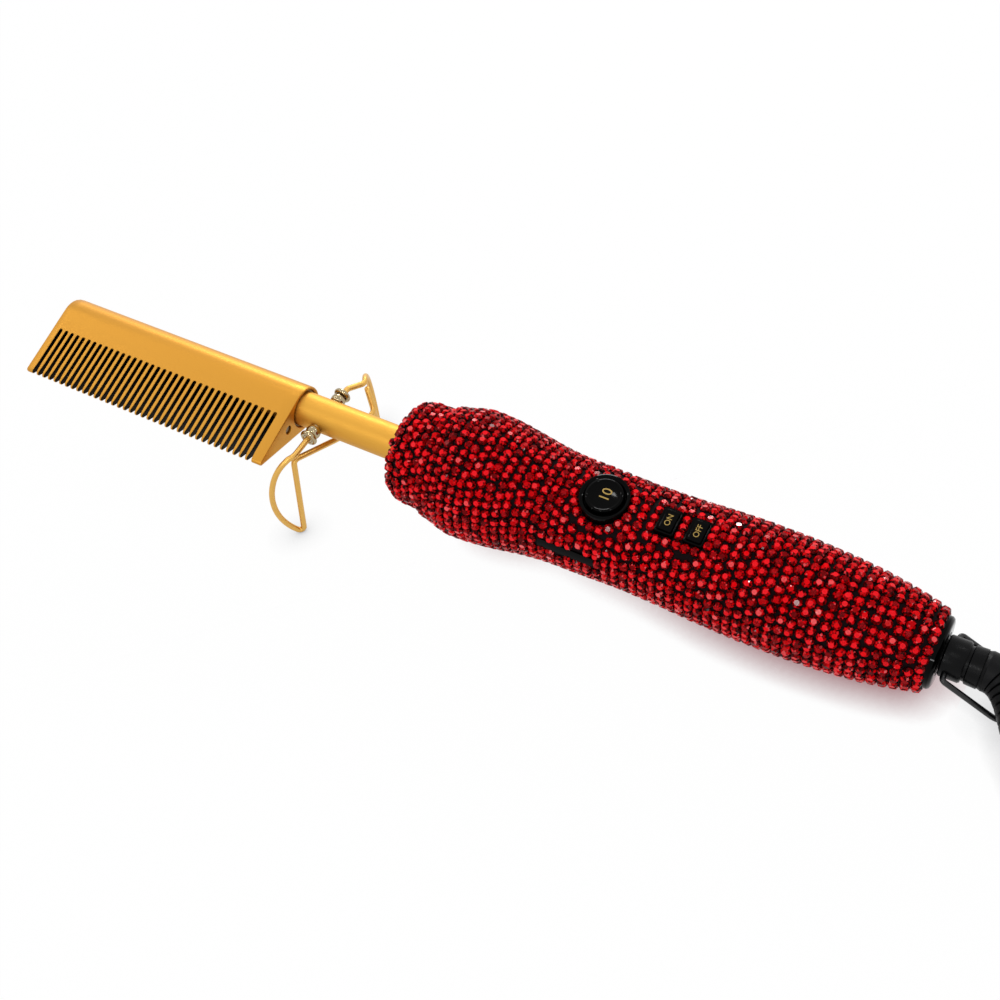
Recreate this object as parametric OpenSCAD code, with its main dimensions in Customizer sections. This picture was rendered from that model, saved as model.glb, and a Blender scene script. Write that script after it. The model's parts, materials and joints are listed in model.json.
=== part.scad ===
// Electric hot comb with a fold-out wire stand, a crystal-covered handle, a
// heat dial, ON and OFF buttons and a swivel mains cord.
//
// Two frames are used. The tool frame has X along the barrel from the comb's
// front end, the teeth pointing to -Y and +Z out of the comb's upper face.
// place() puts it on the table: +Z up, resting on both feet of the stand and
// on the underside of the handle. The cord is drawn straight in the table frame.

/* [Comb head] */
// Length of the comb head along the barrel
head_l = 91.4; // [86:0.2:100]
// Radius of the round spine
spine_r = 7; // [6.8:0.1:8]
// Distance from the barrel axis to the tips of the teeth
teeth_reach = 24.5; // [22:0.5:28]
// Radius of the tips, seen from the end of the head
tip_r = 0.9; // [0.7:0.05:1.1]
// Metal left behind the last slot
slot_end = 3.7; // [3:0.1:6]
// Distance from one slot to the next
slot_pitch = 2.33; // [2.1:0.01:2.33]
// Width of a slot
slot_w = 1.25; // [1:0.05:1.35]
// Distance from the front end to the first slot
slot_start = 3.2; // [2.5:0.1:3.6]
// Distance from the barrel axis to the closed ends of the slots
slot_root = 8.3; // [8.1:0.1:9.5]
// Radius of the bore for the heater
bore_r = 6; // [5.9:0.05:6.2]
// Wall left at the front end of the bore
head_wall = 8; // [5:0.5:12]

/* [Barrel] */
// Outer radius of the barrel tube
barrel_r = 5.45; // [5.3:0.05:5.5]
// Wall of the barrel tube
barrel_wall = 0.8; // [0.6:0.1:1.2]
// Length of the barrel that goes into the comb head
barrel_grip = 20; // [12:1:26]
// Length of the barrel seen between the head and the collar
barrel_show = 37.1; // [34:0.1:40]

/* [Stand] */
// Distance from the rear end of the head to the stand's hinge
hinge_gap = 7.2; // [6.8:0.1:8]
// Radius of the stand wire
wire_r = 0.9; // [0.7:0.05:0.95]
// Half width of the stand at its elbows
stand_half_w = 17.7; // [16.5:0.1:18.5]
// Half width of the stand at its feet
foot_half_w = 23; // [21:0.2:24]
// Depth of the stand's feet below the barrel axis
stand_drop = 30.6; // [29.5:0.1:33]
// How far the feet stand ahead of the hinge
foot_lead = 0.5; // [0:0.1:2]
// Depth of the cross-bar below the barrel axis
crossbar_drop = 7.8; // [7.6:0.1:8.4]
// How far the cross-bar lies behind the hinge
crossbar_back = 4; // [3:0.1:4.5]
// How far the bow of the leg on the teeth side bulges forward and outward
bow = 7.5; // [6:0.1:8]

/* [Handle] */
// Length of the front collar
collar_l = 10.9; // [10:0.1:14]
// Radius of the collar under its crystals
collar_r = 14.6; // [14.2:0.1:15]
// Gap between the collar and the shells
groove = 0.8; // [0.6:0.1:1.2]
// Radius of the shells at the groove, under the crystals
front_r = 16.1; // [15.8:0.1:16.6]
// Radius of the front bulge
bulge_r = 18.2; // [17:0.1:19]
// Distance from the groove to the widest place of the bulge
bulge_at = 11; // [9:0.5:13]
// Radius of the throat behind the bulge
throat_r = 14.8; // [14.6:0.1:15.5]
// Distance from the groove to the throat
throat_at = 44; // [42:0.5:46]
// Radius of the waist where the controls are
waist_r = 14.4; // [14.2:0.1:14.8]
// Distance from the groove to the waist
waist_at = 64; // [62:0.5:66]
// Radius of the belly
belly_r = 15.5; // [15:0.1:16.5]
// Distance from the groove to the belly
belly_at = 99; // [97:0.5:101]
// Length of the shells from the groove to the butt
shell_l = 148; // [146:0.5:150]
// How far behind the butt the curve of the shells would close
tail_over = 13; // [11:0.5:17]
// Fullness of the butt's curve
tail_power = 2.2; // [2:0.1:2.5]
// Wall of the shells
wall = 2.2; // [1.8:0.1:2.4]
// Turn of the handle on the barrel, which leans the controls to the teeth side
panel_roll = 7.5; // [0:0.5:10]

/* [Crystals] */
// Spacing of the crystals
stone_pitch = 2.77; // [2.5:0.01:3.2]
// Height of a crystal over the shell
stone_h = 1.3; // [1:0.05:1.5]

/* [Controls] */
// Distance from the groove to the dial's centre
dial_at = 54.2; // [53:0.1:55]
// Radius of the dial's bezel
bezel_r = 7.2; // [6.8:0.1:7.4]
// Radius of the dial
dial_r = 5.4; // [5:0.1:5.6]
// Distance from the groove to the ON button's centre
on_at = 73.3; // [72.5:0.1:73.5]
// Distance between the two buttons
button_gap = 8.5; // [8.3:0.1:9]
// Size of a button frame along the handle
frame_l = 5.6; // [5:0.1:5.8]
// Size of a button frame across the handle
frame_w = 8; // [7.4:0.1:8.4]
// Rim of a button frame around its button
frame_rim = 0.7; // [0.5:0.05:0.9]
// Height of the button frames above the handle's axis
panel_z = 15.7; // [15.4:0.1:16]
// Travel of the buttons
button_travel = 0.5; // [0.3:0.05:0.6]
// Length of the side slots
slot_vent_l = 17.3; // [14:0.1:20]
// Height of the side slots
slot_vent_h = 2.8; // [2.4:0.1:3.4]
// Distance from the groove to the middle of the side slots
slot_vent_at = 48; // [46:0.5:50]
// Angle of the side slots from the middle of the control panel
slot_vent_angle = 74; // [70:1:76]

/* [Swivel and plug] */
// Radius of the swivel neck
neck_r = 5.7; // [5.5:0.1:6]
// Length of the swivel neck
neck_l = 5.8; // [5.4:0.1:7]
// Radius of the swivel sleeve
sleeve_r = 5.3; // [5:0.1:5.6]
// Length of the swivel sleeve
sleeve_l = 3.4; // [3:0.2:5]
// Radius of the cord
cord_r = 3; // [2.8:0.1:3]
// Radius of the hang loop's wire
loop_wire_r = 0.8; // [0.6:0.05:0.9]
// Length of the hang loop
loop_l = 23; // [20:0.5:25]
// Radius of a plug pin
pin_r = 2; // [1.9:0.05:2.4]
// Free length of the plug pins
pin_l = 19; // [17:0.5:20]
// Distance between the plug pins
pin_gap = 18.6; // [17:0.1:19]

/* [Hidden] */

fine = 64;                       // facets of a plain round
fit = 0.05;                      // radial clearance of pressed and running fits
e = 0.01;                        // overshoot of a cut
sink = 0.04;                     // how far a flank lies inside the rounds that it joins

// Places along the tool's X
hinge_x = head_l + hinge_gap;
collar_x0 = head_l + barrel_show;
collar_x1 = collar_x0 + collar_l;
shell_x0 = collar_x1 + groove;
shell_x1 = shell_x0 + shell_l;
bulge_x = shell_x0 + bulge_at;
throat_x = shell_x0 + throat_at;
waist_x = shell_x0 + waist_at;
belly_x = shell_x0 + belly_at;
dial_x = shell_x0 + dial_at;
on_x = shell_x0 + on_at;
off_x = on_x + button_gap;
vent_x = shell_x0 + slot_vent_at;

// Section of the comb head: a wedge tangent to the spine and to the tips
tip_y = -(teeth_reach - tip_r);
wedge = asin((spine_r - tip_r) / -tip_y);
slot_n = 1 + floor((head_l - slot_start - slot_end) / slot_pitch);
screw_y = -(slot_root + 1.1);
screw_r = 1.3;
screw_l = head_l - slot_start - (slot_n - 1) * slot_pitch - slot_w / 2 - 0.4;

// Handle profile: radius under the crystals at a place along X
tail_l = shell_l - belly_at + tail_over;
function ease(a, b, t) = a + (b - a) * (1 - cos(180 * t)) / 2;
function tail(u) = pow(1 - pow(u, tail_power), 1 / tail_power);
function shell_r(x) =
    x < bulge_x ? ease(front_r, bulge_r, (x - shell_x0) / bulge_at) :
    x < throat_x ? ease(bulge_r, throat_r, (x - bulge_x) / (throat_x - bulge_x)) :
    x < waist_x ? ease(throat_r, waist_r, (x - throat_x) / (waist_x - throat_x)) :
    x < belly_x ? ease(waist_r, belly_r, (x - waist_x) / (belly_x - waist_x)) :
    belly_r * tail((x - belly_x) / tail_l);
rows = floor(shell_l / stone_pitch);
row_l = shell_l / rows;
stations = [for (i = [0:rows]) shell_x0 + i * row_l];
outer_points = [for (x = stations) [shell_r(x), x]];

// Crystals: each row is a low ridge with a flat table on top
stone_valley = 0.3;
table_share = 0.24;
function ridge(r0, x0, r1, x1) = [
    [r0 + stone_valley, x0 + e],
    [r0 + (r1 - r0) * table_share + stone_h, x0 + (x1 - x0) * table_share],
    [r1 + (r0 - r1) * table_share + stone_h, x1 - (x1 - x0) * table_share]];
ridges = [for (i = [0:rows - 1])
    for (p = ridge(shell_r(stations[i]), stations[i], shell_r(stations[i + 1]), stations[i + 1])) p];

// Collar profile, from its front face to the groove
collar_round = 4.5;
collar_rows = floor(collar_l / stone_pitch);
function collar_arc(a) = [collar_r - collar_round * (1 - cos(a)), collar_x0 + collar_round * (1 - sin(a))];
collar_face = 1.3;
collar_wall = 1.6;
spigot_r = collar_r - collar_wall;
spigot_x0 = collar_x0 + 4;
spigot_wall = 2.2;

// Barrel and heater
barrel_x0 = head_l - barrel_grip;
bush_x0 = spigot_x0 + 1;
bush_l = 14;
bush_x1 = bush_x0 + bush_l;
flange_t = 1.2;
flange_r = barrel_r + 1.6;
barrel_x1 = bush_x1 + flange_t;
barrel_bore_r = barrel_r - barrel_wall;
heater_r = 4;
heater_x0 = head_wall + 4;
heater_x1 = head_l - 3.4;
heat_spreader_x1 = barrel_x0 - 1;

// Control board, in the handle's own turn
board_top = 1;
board_t = 1.6;
board_w = 17;
board_gap = 11.5;
board_behind = 16.2;
board_x0 = barrel_x1 + board_gap;
board_x1 = off_x + board_behind;
lead_r = 0.6;
lead_y = 2;
lead_z = board_top + lead_r;
sensor_r = 0.35;
sensor_y = 0.9;
sensor_z = board_top - board_t - sensor_r;
fuse_r = 1.35;
fuse_l = 10;
board_screw_r = 1;
board_posts = [[board_x0 + 4, 6], [board_x0 + 4, -6], [board_x1 - 4, 6], [board_x1 - 4, -6]];
post_r = 2.4;
switch_size = 6;
switch_h = 3.5;
plunger_r = 1.6;
plunger_h = 1.2;
plunger_z = board_top + switch_h + 0.9;
pot_size = 9;
pot_h = 5;
shaft_r = 2;

// Button and dial heights above the handle's axis
window_bottom = 11.2;
key_top = panel_z + 0.5;
dial_top = panel_z + 1.2;
dial_bottom = panel_z - 2.6;
key_l = frame_l - 2 * frame_rim - 2 * fit;
key_w = frame_w - 2 * frame_rim - 2 * fit;

// Swivel
end_wall = 4;
end_hole_r = 6.1;
ring_t = 1.8;
ring_x1 = shell_x1 + ring_t;
socket_r = end_hole_r - fit;
socket_depth = 16.4;
socket_x0 = shell_x1 - socket_depth;
socket_flange_r = 8.2;
socket_flange_x1 = shell_x1 - end_wall;
socket_flange_t = 2.2;
journal_r = 4.1;
chamber_r = 5.3;
chamber_depth = 9.4;
chamber_x1 = shell_x1 - chamber_depth;
journal_x0 = socket_x0 + 2;
clip_t = 1;
clip_groove_r = 3.4;
slip_r = 4.5;
slip_t = 1;
neck_x0 = ring_x1 + 0.3;
neck_x1 = neck_x0 + neck_l;
notch_l = 0.8;
sleeve_x0 = neck_x1 + notch_l;
sleeve_x1 = sleeve_x0 + sleeve_l;

// Hang loop: a wire bail on the neck, hanging below the cord
loop_x = neck_x0 + 1.9;
loop_half_w = 7.6;
loop_pin_hole = 2.4;
loop_pin_r = loop_wire_r - 0.1;
loop_gap = 0.3;

// Stand wire ends
stub_r = wire_r - 0.1;
foot_z = stand_drop - wire_r;

// Resting pose of the tool on the table: both feet and one ring of crystals touch
foot_x = hinge_x - foot_lead;
function rest_tilt(p) = let (rise = foot_z - p[0], run = p[1] - foot_x)
    atan2(rise, run) + asin(wire_r / norm([rise, run]));
tilt = min([for (p = ridges) if (p[1] > belly_x) rest_tilt(p)]);
lift = foot_x * sin(tilt) + foot_z * cos(tilt) + wire_r;

// The hang loop drops until it lies on the table
loop_drop = asin((lift - loop_x * sin(tilt) - loop_wire_r) / loop_l) - tilt;

// Middle of the object's box without the cord, so that it is centred on the origin
box_x0 = -spine_r * sin(tilt);
box_x1 = loop_x * cos(tilt) + loop_l * cos(tilt + loop_drop) + loop_wire_r;
mid_x = (box_x0 + box_x1) / 2;

// Cord route in the table frame: from the boot to the coil, and from the coil to the plug
cord_in = [[158.5, -16, 9.6], [161.1, -19.6, 9.3], [164.9, -24, 9.3], [170.1, -29.7, 9.5],
    [175.5, -35.5, 9.6]];
cord_out = [[216, 16, 17.9], [206.2, 19.5, 19.8], [195.8, 19.5, 21.3], [186, 16, 22], [176.4, 7.2, 22],
    [172, -2.2, 22], [171.1, -12.6, 22], [173.8, -22.7, 22], [179.3, -30.8, 22.2], [186, -35.9, 23.6],
    [192.6, -38.1, 24.9], [196, -38.5, 25.45], [199, -38.5, 25.45]];
coil_x = 201;
coil_y = -10;
coil_mid_r = 30;
coil_half = 6 + cord_r;
tie_t = 0.6;
coil_z0 = tie_t;
coil_h = 6 * cord_r;
tie_w = 9;
plug_l = 34;
plug_w = 26;
plug_t = 13.7;
plug_x0 = 199;
plug_y = -38.5;
plug_z = coil_z0 + coil_h + plug_t / 2;
plug_neck_l = 10;
pin_root_l = 4;
pin_root_r = pin_r - 0.5;

// Tube along a path: one ring of points for each point of the path
function unit(v) = v / norm(v);
function tangents(p) = [for (i = [0:len(p) - 1])
    unit(p[min(i + 1, len(p) - 1)] - p[max(i - 1, 0)])];
function normals(t, i, n) = let (m = unit(n - (n * t[i]) * t[i]))
    i == len(t) - 1 ? [m] : concat([m], normals(t, i + 1, m));
function start_normal(t) = abs(t.z) < 0.9 ? [0, 0, 1] : [1, 0, 0];
module tube(path, radii, sides) {
    t = tangents(path);
    n = normals(t, 0, start_normal(t[0]));
    points = [for (i = [0:len(path) - 1]) let (b = cross(t[i], n[i]))
        for (k = [0:sides - 1]) let (a = 360 * k / sides)
            path[i] + radii[i] * (cos(a) * n[i] + sin(a) * b)];
    walls = [for (i = [0:len(path) - 2], k = [0:sides - 1]) let (m = (k + 1) % sides)
        [i * sides + k, (i + 1) * sides + k, (i + 1) * sides + m, i * sides + m]];
    first = [for (k = [0:sides - 1]) k];
    last = [for (k = [sides - 1:-1:0]) (len(path) - 1) * sides + k];
    polyhedron(points, concat([first], walls, [last]), 4);
}
function backward(path) = [for (i = [len(path) - 1:-1:0]) path[i]];
module even_tube(path, r, sides) tube(path, [for (p = path) r], sides);
function bend(a, b, c, d) = let (p = b + d * unit(a - b), q = b + d * unit(c - b))
    [for (t = [0:0.25:1]) p * pow(1 - t, 2) + 2 * b * t * (1 - t) + q * t * t];
function bezier(a, b, c, d, t) = a * pow(1 - t, 3) + 3 * b * t * pow(1 - t, 2)
    + 3 * c * t * t * (1 - t) + d * pow(t, 3);

// Frames and plain shapes
module place() translate([-mid_x, 0, lift]) rotate([0, tilt, 0]) children();
module on_handle() place() rotate([panel_roll, 0, 0]) children();
module rod(x0, x1, r) translate([x0, 0, 0]) rotate([0, 90, 0]) cylinder(h = x1 - x0, r = r, $fn = fine);
module pipe(x0, x1, r_out, r_in) difference() {
    rod(x0, x1, r_out);
    rod(x0 - e, x1 + e, r_in);
}
module turned(points) rotate([0, 90, 0]) rotate_extrude($fn = fine) polygon(points);
module post(x, y, z0, z1, r) translate([x, y, z0]) cylinder(h = z1 - z0, r = r, $fn = fine);
module block(x0, x1, y0, y1, z0, z1) translate([x0, y0, z0]) cube([x1 - x0, y1 - y0, z1 - z0]);
module both_sides() for (s = [1, -1]) scale([1, s, 1]) children();
module half_space(side) block(collar_x0, shell_x1 + 1, -25, 25, side > 0 ? 0 : -25, side > 0 ? 25 : 0);

// The comb head is one extrusion with sawn slots and a bore for the heater
module head_section() {
    n = [-sin(wedge), cos(wedge)];
    m = [n.x, -n.y];
    circle(r = spine_r, $fn = fine);
    translate([tip_y, 0]) circle(r = tip_r, $fn = 32);
    polygon([(spine_r - sink) * n, [tip_y, 0] + (tip_r - sink) * n,
        [tip_y, 0] + (tip_r - sink) * m, (spine_r - sink) * m]);
}
module comb_head() color("goldenrod") place() difference() {
    rotate([90, 0, 90]) linear_extrude(head_l) head_section();
    rod(head_wall, head_l + e, bore_r);
    for (i = [0:slot_n - 1]) translate([slot_start + i * slot_pitch, -slot_root, -spine_r]) {
        translate([0, -slot_w / 2, 0]) cylinder(h = 2 * spine_r, r = slot_w / 2, $fn = 16);
        translate([-slot_w / 2, -teeth_reach, 0]) cube([slot_w, teeth_reach - slot_w / 2, 2 * spine_r]);
    }
    translate([0, screw_y, 0]) rod(head_l - screw_l, head_l + e, screw_r);
}
module head_screw() color("silver") place() translate([0, screw_y, 0]) difference() {
    rod(head_l - screw_l, head_l - 0.6, screw_r - fit);
    block(head_l - 1, head_l, -0.25, 0.25, -screw_r, screw_r);
}

// Heater parts inside the head and the barrel
module heater_core() color("ivory") place() rod(heater_x0, heater_x1, heater_r - fit);
module heat_spreader() color("lightgray") place() pipe(head_wall, heat_spreader_x1, bore_r - fit, heater_r);
module mica_sleeve() color("darkkhaki") place() pipe(barrel_x0, head_l - 1, bore_r - fit, barrel_r);
module thermistor() color("maroon") on_handle()
    translate([0, 0, sensor_z]) rod(heater_x1, heater_x1 + 2.4, 1.5);
module thermal_fuse() color("whitesmoke") on_handle()
    translate([0, lead_y, lead_z]) rod(heater_x1 + 6, heater_x1 + 6 + fuse_l, fuse_r);
module heater_leads() color("white") on_handle() {
    translate([0, -lead_y, lead_z]) rod(heater_x1, board_x0 + 4, lead_r);
    translate([0, lead_y, lead_z]) rod(heater_x1, heater_x1 + 6, lead_r);
    translate([0, lead_y, lead_z]) rod(heater_x1 + 6 + fuse_l, board_x0 + 4, lead_r);
}
module sensor_leads() color("yellow") on_handle() for (s = [1, -1])
    translate([0, s * sensor_y, sensor_z]) rod(heater_x1 + 2.4, board_x0 + 4, sensor_r);

// The barrel tube is clamped in the handle by its flange and an insulating bush
module barrel_tube() color("goldenrod") place() difference() {
    union() {
        rod(barrel_x0, barrel_x1, barrel_r - fit);
        rod(bush_x1, barrel_x1, flange_r);
    }
    rod(barrel_x0 - e, barrel_x1 + e, barrel_bore_r);
    both_sides() translate([hinge_x, 0, 0]) rotate([-90, 0, 0])
        cylinder(h = barrel_r + 1, r = boss_r, $fn = fine);
}
module barrel_bush() color("saddlebrown") place()
    pipe(bush_x0, bush_x1, spigot_r - spigot_wall - fit, barrel_r);

// Stand hinge: a boss on each side of the barrel takes one end of the wire
boss_r = 1.7;
ball_r = 2.3;
ball_y = barrel_r + 1.45;
ring_y = ball_y + 2.4;
ring_rim_r = 0.75;
ring_mid_r = 2;
pin_end_y = barrel_r + 0.4;
module pivot_bosses() color("silver") place() both_sides() translate([hinge_x, 0, 0]) rotate([-90, 0, 0])
    difference() {
        union() {
            translate([0, 0, barrel_bore_r])
                cylinder(h = ball_y - barrel_bore_r, r = boss_r - fit, $fn = fine);
            translate([0, 0, ball_y]) intersection() {
                sphere(r = ball_r, $fn = fine);
                translate([-ball_r, -ball_r, barrel_r - ball_y + 0.25]) cube(2 * ball_r * [1, 1, 1]);
            }
        }
        translate([0, 0, pin_end_y - 0.1]) cylinder(h = ball_y, r = stub_r + fit, $fn = fine);
    }
module pivot_rings() color("silver") place() both_sides() translate([hinge_x, ring_y, 0]) rotate([-90, 0, 0])
    rotate_extrude($fn = fine) {
        translate([ring_mid_r, 0]) circle(r = ring_rim_r, $fn = 24);
        translate([stub_r + fit, 0.05]) square([ring_mid_r - stub_r - fit, 0.65]);
    }

// Stand: one wire, from one boss out, down the bow, up the straight leg, under
// the barrel and back the same way on the other side
stub_end = 11;
elbow = [0, -stand_half_w, 0];
foot = [-foot_lead, -foot_half_w, -foot_z];
foot_turn_r = 1.15;
leg_top = elbow + [-0.8, 0.5, -2.4];
bow_start = elbow + bow * [-0.65, -0.8, -0.1];
bow_end = foot + [-bow, -bow, foot_z * 0.42];
crossbar = [crossbar_back, 0, -crossbar_drop];
far_elbow = [3.1, stand_half_w - 0.3, -1.1];
far_foot = [foot.x, -foot.y, foot.z];
far_leg_top = far_elbow + [-0.3, 0.5, -2.5];
far_bow_start = far_elbow + bow * [-0.62, 0.83, -0.03];
far_bow_end = far_foot + [-0.73 * bow, 0.95 * bow, foot_z * 0.41];
far_knee = [7.3, far_elbow.y - 3.4, -crossbar_drop - 1.5];
function foot_turn(p, way, a) = p + foot_turn_r * ([0, 0, 1 + sin(a)] + cos(a) * way);
function leg_path(elbow, bow_1, bow_2, foot, way, top, after) = concat(
    [for (i = [1.5:9.5]) bezier(elbow, bow_1, bow_2, foot_turn(foot, way, 215), i / 10)],
    [for (a = [215:29:360]) foot_turn(foot, way, a)], bend(foot_turn(foot, way, 360), top, after, 1.8));
near_path = concat([[0, -stub_end, 0]], bend([0, -stub_end, 0], elbow, bow_start, 1.6),
    leg_path(elbow, bow_start, bow_end, foot, [0.7, 0.7, 0], leg_top, crossbar),
    bend(leg_top, crossbar, far_knee, 2.4));
far_path = concat([[0, stub_end, 0]], bend([0, stub_end, 0], [0, stub_end + 1.2, 0], far_elbow, 0.8),
    bend([0, stub_end + 1.2, 0], far_elbow, far_bow_start, 1.6),
    leg_path(far_elbow, far_bow_start, far_bow_end, far_foot, [0.6, -0.8, 0], far_leg_top, far_knee),
    bend(far_leg_top, far_knee, crossbar, 2.4));
stand_path = concat(near_path, backward(far_path));
module stand_wire() color("goldenrod") place() translate([hinge_x, 0, 0]) {
    even_tube(stand_path, wire_r, 12);
    both_sides() rotate([-90, 0, 0]) translate([0, 0, pin_end_y])
        cylinder(h = stub_end - pin_end_y + 0.2, r = stub_r, $fn = fine);
}

// Front collar, which slides over the shells' spigot
module nozzle_collar() color("darkred") on_handle() turned(concat(
    [[barrel_r + 0.4, collar_x0 + collar_face]],
    [[barrel_r + 0.4, collar_x0]],
    [for (a = [90:-15:0]) collar_arc(a)],
    [[collar_r, collar_x1], [spigot_r + fit, collar_x1], [spigot_r + fit, spigot_x0 - 0.2],
        [barrel_r + 0.4, spigot_x0 - 0.2]]));
collar_row = (collar_l - collar_round) / (collar_rows - 1);
module collar_crystals() color("crimson") on_handle() turned(concat(
    [for (a = [90:-15:0]) collar_arc(a)], [[collar_r, collar_x1]],
    [for (i = [collar_rows - 2:-1:0]) let (x = collar_x0 + collar_round + i * collar_row)
        for (s = [1 - table_share, table_share]) [collar_r + stone_h, x + s * collar_row]],
    [for (a = [0:15:90]) collar_arc(a) + stone_h * [cos(a), -sin(a)]]));

// Handle shells: two halves of one turned form, with spigot, ribs and posts
function inner_r(x) = shell_r(x) - wall;
rib_x = barrel_x1 + 0.1;
cavity_x1 = shell_x1 - end_wall;
inner_points = [for (i = [rows - 2:-2:2]) if (stations[i] > rib_x + 2.2) [inner_r(stations[i]), stations[i]]];
shell_points = concat([[spigot_r - spigot_wall, spigot_x0], [spigot_r, spigot_x0], [spigot_r, shell_x0]],
    outer_points,
    [[end_hole_r, shell_x1], [end_hole_r, cavity_x1], [inner_r(cavity_x1), cavity_x1]],
    inner_points,
    [[inner_r(rib_x + 2), rib_x + 2], [barrel_bore_r + 1, rib_x + 2], [barrel_bore_r + 1, rib_x],
        [spigot_r - spigot_wall, rib_x]]);
socket_rib_x1 = socket_flange_x1 - socket_flange_t - 0.1;
module socket_rib() pipe(socket_rib_x1 - 2, socket_rib_x1, inner_r(cavity_x1) + 1, end_hole_r);
module frame_hole(x) translate([x, 0, 15]) cube([frame_l + 2 * fit, frame_w + 2 * fit, 20], center = true);
module vent_hole(grow) both_sides() rotate([slot_vent_angle, 0, 0])
    block(vent_x - slot_vent_l / 2 - grow, vent_x + slot_vent_l / 2 + grow,
        -slot_vent_h / 2 - grow, slot_vent_h / 2 + grow, throat_r - wall - 2, 25);
module control_holes() {
    post(dial_x, 0, 5, 25, bezel_r + fit);
    frame_hole(on_x);
    frame_hole(off_x);
    vent_hole(fit);
}
screw_post_r = 2.6;
last_screw_x = socket_x0 - screw_post_r;
shell_screw_x = [bulge_x + 3, (board_x1 + last_screw_x) / 2, last_screw_x];
shell_screw_y = [9, 0, 0];
shell_screw_r = 1;
shell_screw_l = 12;
shell_head_r = 2;
shell_head_h = 1.4;
shell_seat = -6;
outside = bulge_r + 6;
module at_shell_screws() for (i = [0:2]) for (s = shell_screw_y[i] == 0 ? [1] : [1, -1])
    translate([shell_screw_x[i], s * shell_screw_y[i], 0]) children();
function wall_z(x, y) = sqrt(pow(inner_r(x), 2) - pow(abs(y) + 1, 2));
module screw_posts(side) for (i = [0:2]) for (s = shell_screw_y[i] == 0 ? [1] : [1, -1])
    let (x = shell_screw_x[i], y = s * shell_screw_y[i], h = wall_z(x, y) + 0.6)
        post(x, y, side > 0 ? 0 : -h, side > 0 ? h : 0, screw_post_r);
module handle_upper() color("darkred") on_handle() difference() {
    union() {
        intersection() {
            union() {
                turned(shell_points);
                socket_rib();
            }
            half_space(1);
        }
        screw_posts(1);
    }
    control_holes();
    at_shell_screws() post(0, 0, -e, shell_seat + shell_screw_l + 1, shell_screw_r + fit);
}
module handle_lower() color("darkred") on_handle() difference() {
    union() {
        intersection() {
            union() {
                turned(shell_points);
                socket_rib();
            }
            half_space(-1);
        }
        screw_posts(-1);
        for (p = board_posts) post(p.x, p.y, -wall_z(p.x, p.y) - 0.6, board_top - board_t, post_r);
    }
    for (p = board_posts) post(p.x, p.y, board_top - board_t - 5, board_top, board_screw_r);
    at_shell_screws() post(0, 0, -outside, 1, shell_screw_r + 0.3);
    at_shell_screws() post(0, 0, -outside, shell_seat, shell_head_r + 0.1);
}

// Crystals glued all over the shells
skin_points = concat(outer_points, [[shell_r(shell_x1) + stone_valley, shell_x1]],
    [for (i = [len(ridges) - 1:-1:0]) ridges[i]]);
module upper_crystals() color("crimson") on_handle() difference() {
    intersection() {
        turned(skin_points);
        half_space(1);
    }
    control_holes();
}
module lower_crystals() color("crimson") on_handle() intersection() {
    turned(skin_points);
    half_space(-1);
}
module shell_screws() color("dimgray") on_handle() at_shell_screws() {
    post(0, 0, shell_seat, shell_seat + shell_screw_l, shell_screw_r);
    post(0, 0, shell_seat - shell_head_h, shell_seat, shell_head_r);
}

// Black inserts in the side slots
module side_vents() color("black") on_handle() intersection() {
    vent_hole(0);
    pipe(vent_x - slot_vent_l, vent_x + slot_vent_l, throat_r + 0.4, throat_r - wall - 0.6);
}

// Dial: a bezel set in the shell, a knob on its shaft and the potentiometer below
module dial_bezel() color("black") on_handle() difference() {
    post(dial_x, 0, window_bottom, panel_z + 0.4, bezel_r);
    post(dial_x, 0, dial_bottom - 0.3, panel_z + 1, dial_r + 0.3);
    post(dial_x, 0, window_bottom - e, panel_z, shaft_r + 0.3);
}
module dial_knob() color("black") on_handle() {
    post(dial_x, 0, dial_bottom, dial_top - 0.6, dial_r);
    post(dial_x, 0, dial_top - 0.6, dial_top, dial_r - 0.6);
    post(dial_x, 0, board_top + pot_h - 2, dial_bottom, shaft_r);
}
module dial_pot() color("green") on_handle() difference() {
    translate([dial_x, 0, board_top + pot_h / 2]) cube([pot_size, pot_size, pot_h], center = true);
    post(dial_x, 0, board_top + pot_h - 2.1, board_top + pot_h + 1, shaft_r + fit);
}

// Buttons: frames in the shell, buttons with a stem, and the switches below
module button_frame(x) difference() {
    block(x - frame_l / 2, x + frame_l / 2, -frame_w / 2, frame_w / 2, window_bottom, panel_z);
    translate([x, 0, panel_z])
        cube([key_l + 2 * fit, key_w + 2 * fit, 2 * (panel_z - window_bottom + 1)], center = true);
}
module button(x) {
    block(x - key_l / 2, x + key_l / 2, -key_w / 2, key_w / 2, window_bottom, key_top);
    post(x, 0, plunger_z, window_bottom, plunger_r);
}
module plunger(x) post(x, 0, plunger_z - plunger_h, plunger_z, plunger_r);
module on_frame() color("black") on_handle() button_frame(on_x);
module off_frame() color("black") on_handle() button_frame(off_x);
module on_button() color("black") on_handle() button(on_x);
module off_button() color("black") on_handle() button(off_x);
module on_plunger() color("white") on_handle() plunger(on_x);
module off_plunger() color("white") on_handle() plunger(off_x);
module tact_switches() color("dimgray") on_handle() for (x = [on_x, off_x]) difference() {
    translate([x, 0, board_top + switch_h / 2]) cube([switch_size, switch_size, switch_h], center = true);
    post(x, 0, plunger_z - plunger_h - button_travel - 0.2, board_top + switch_h + 1, plunger_r + fit);
}

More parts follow.
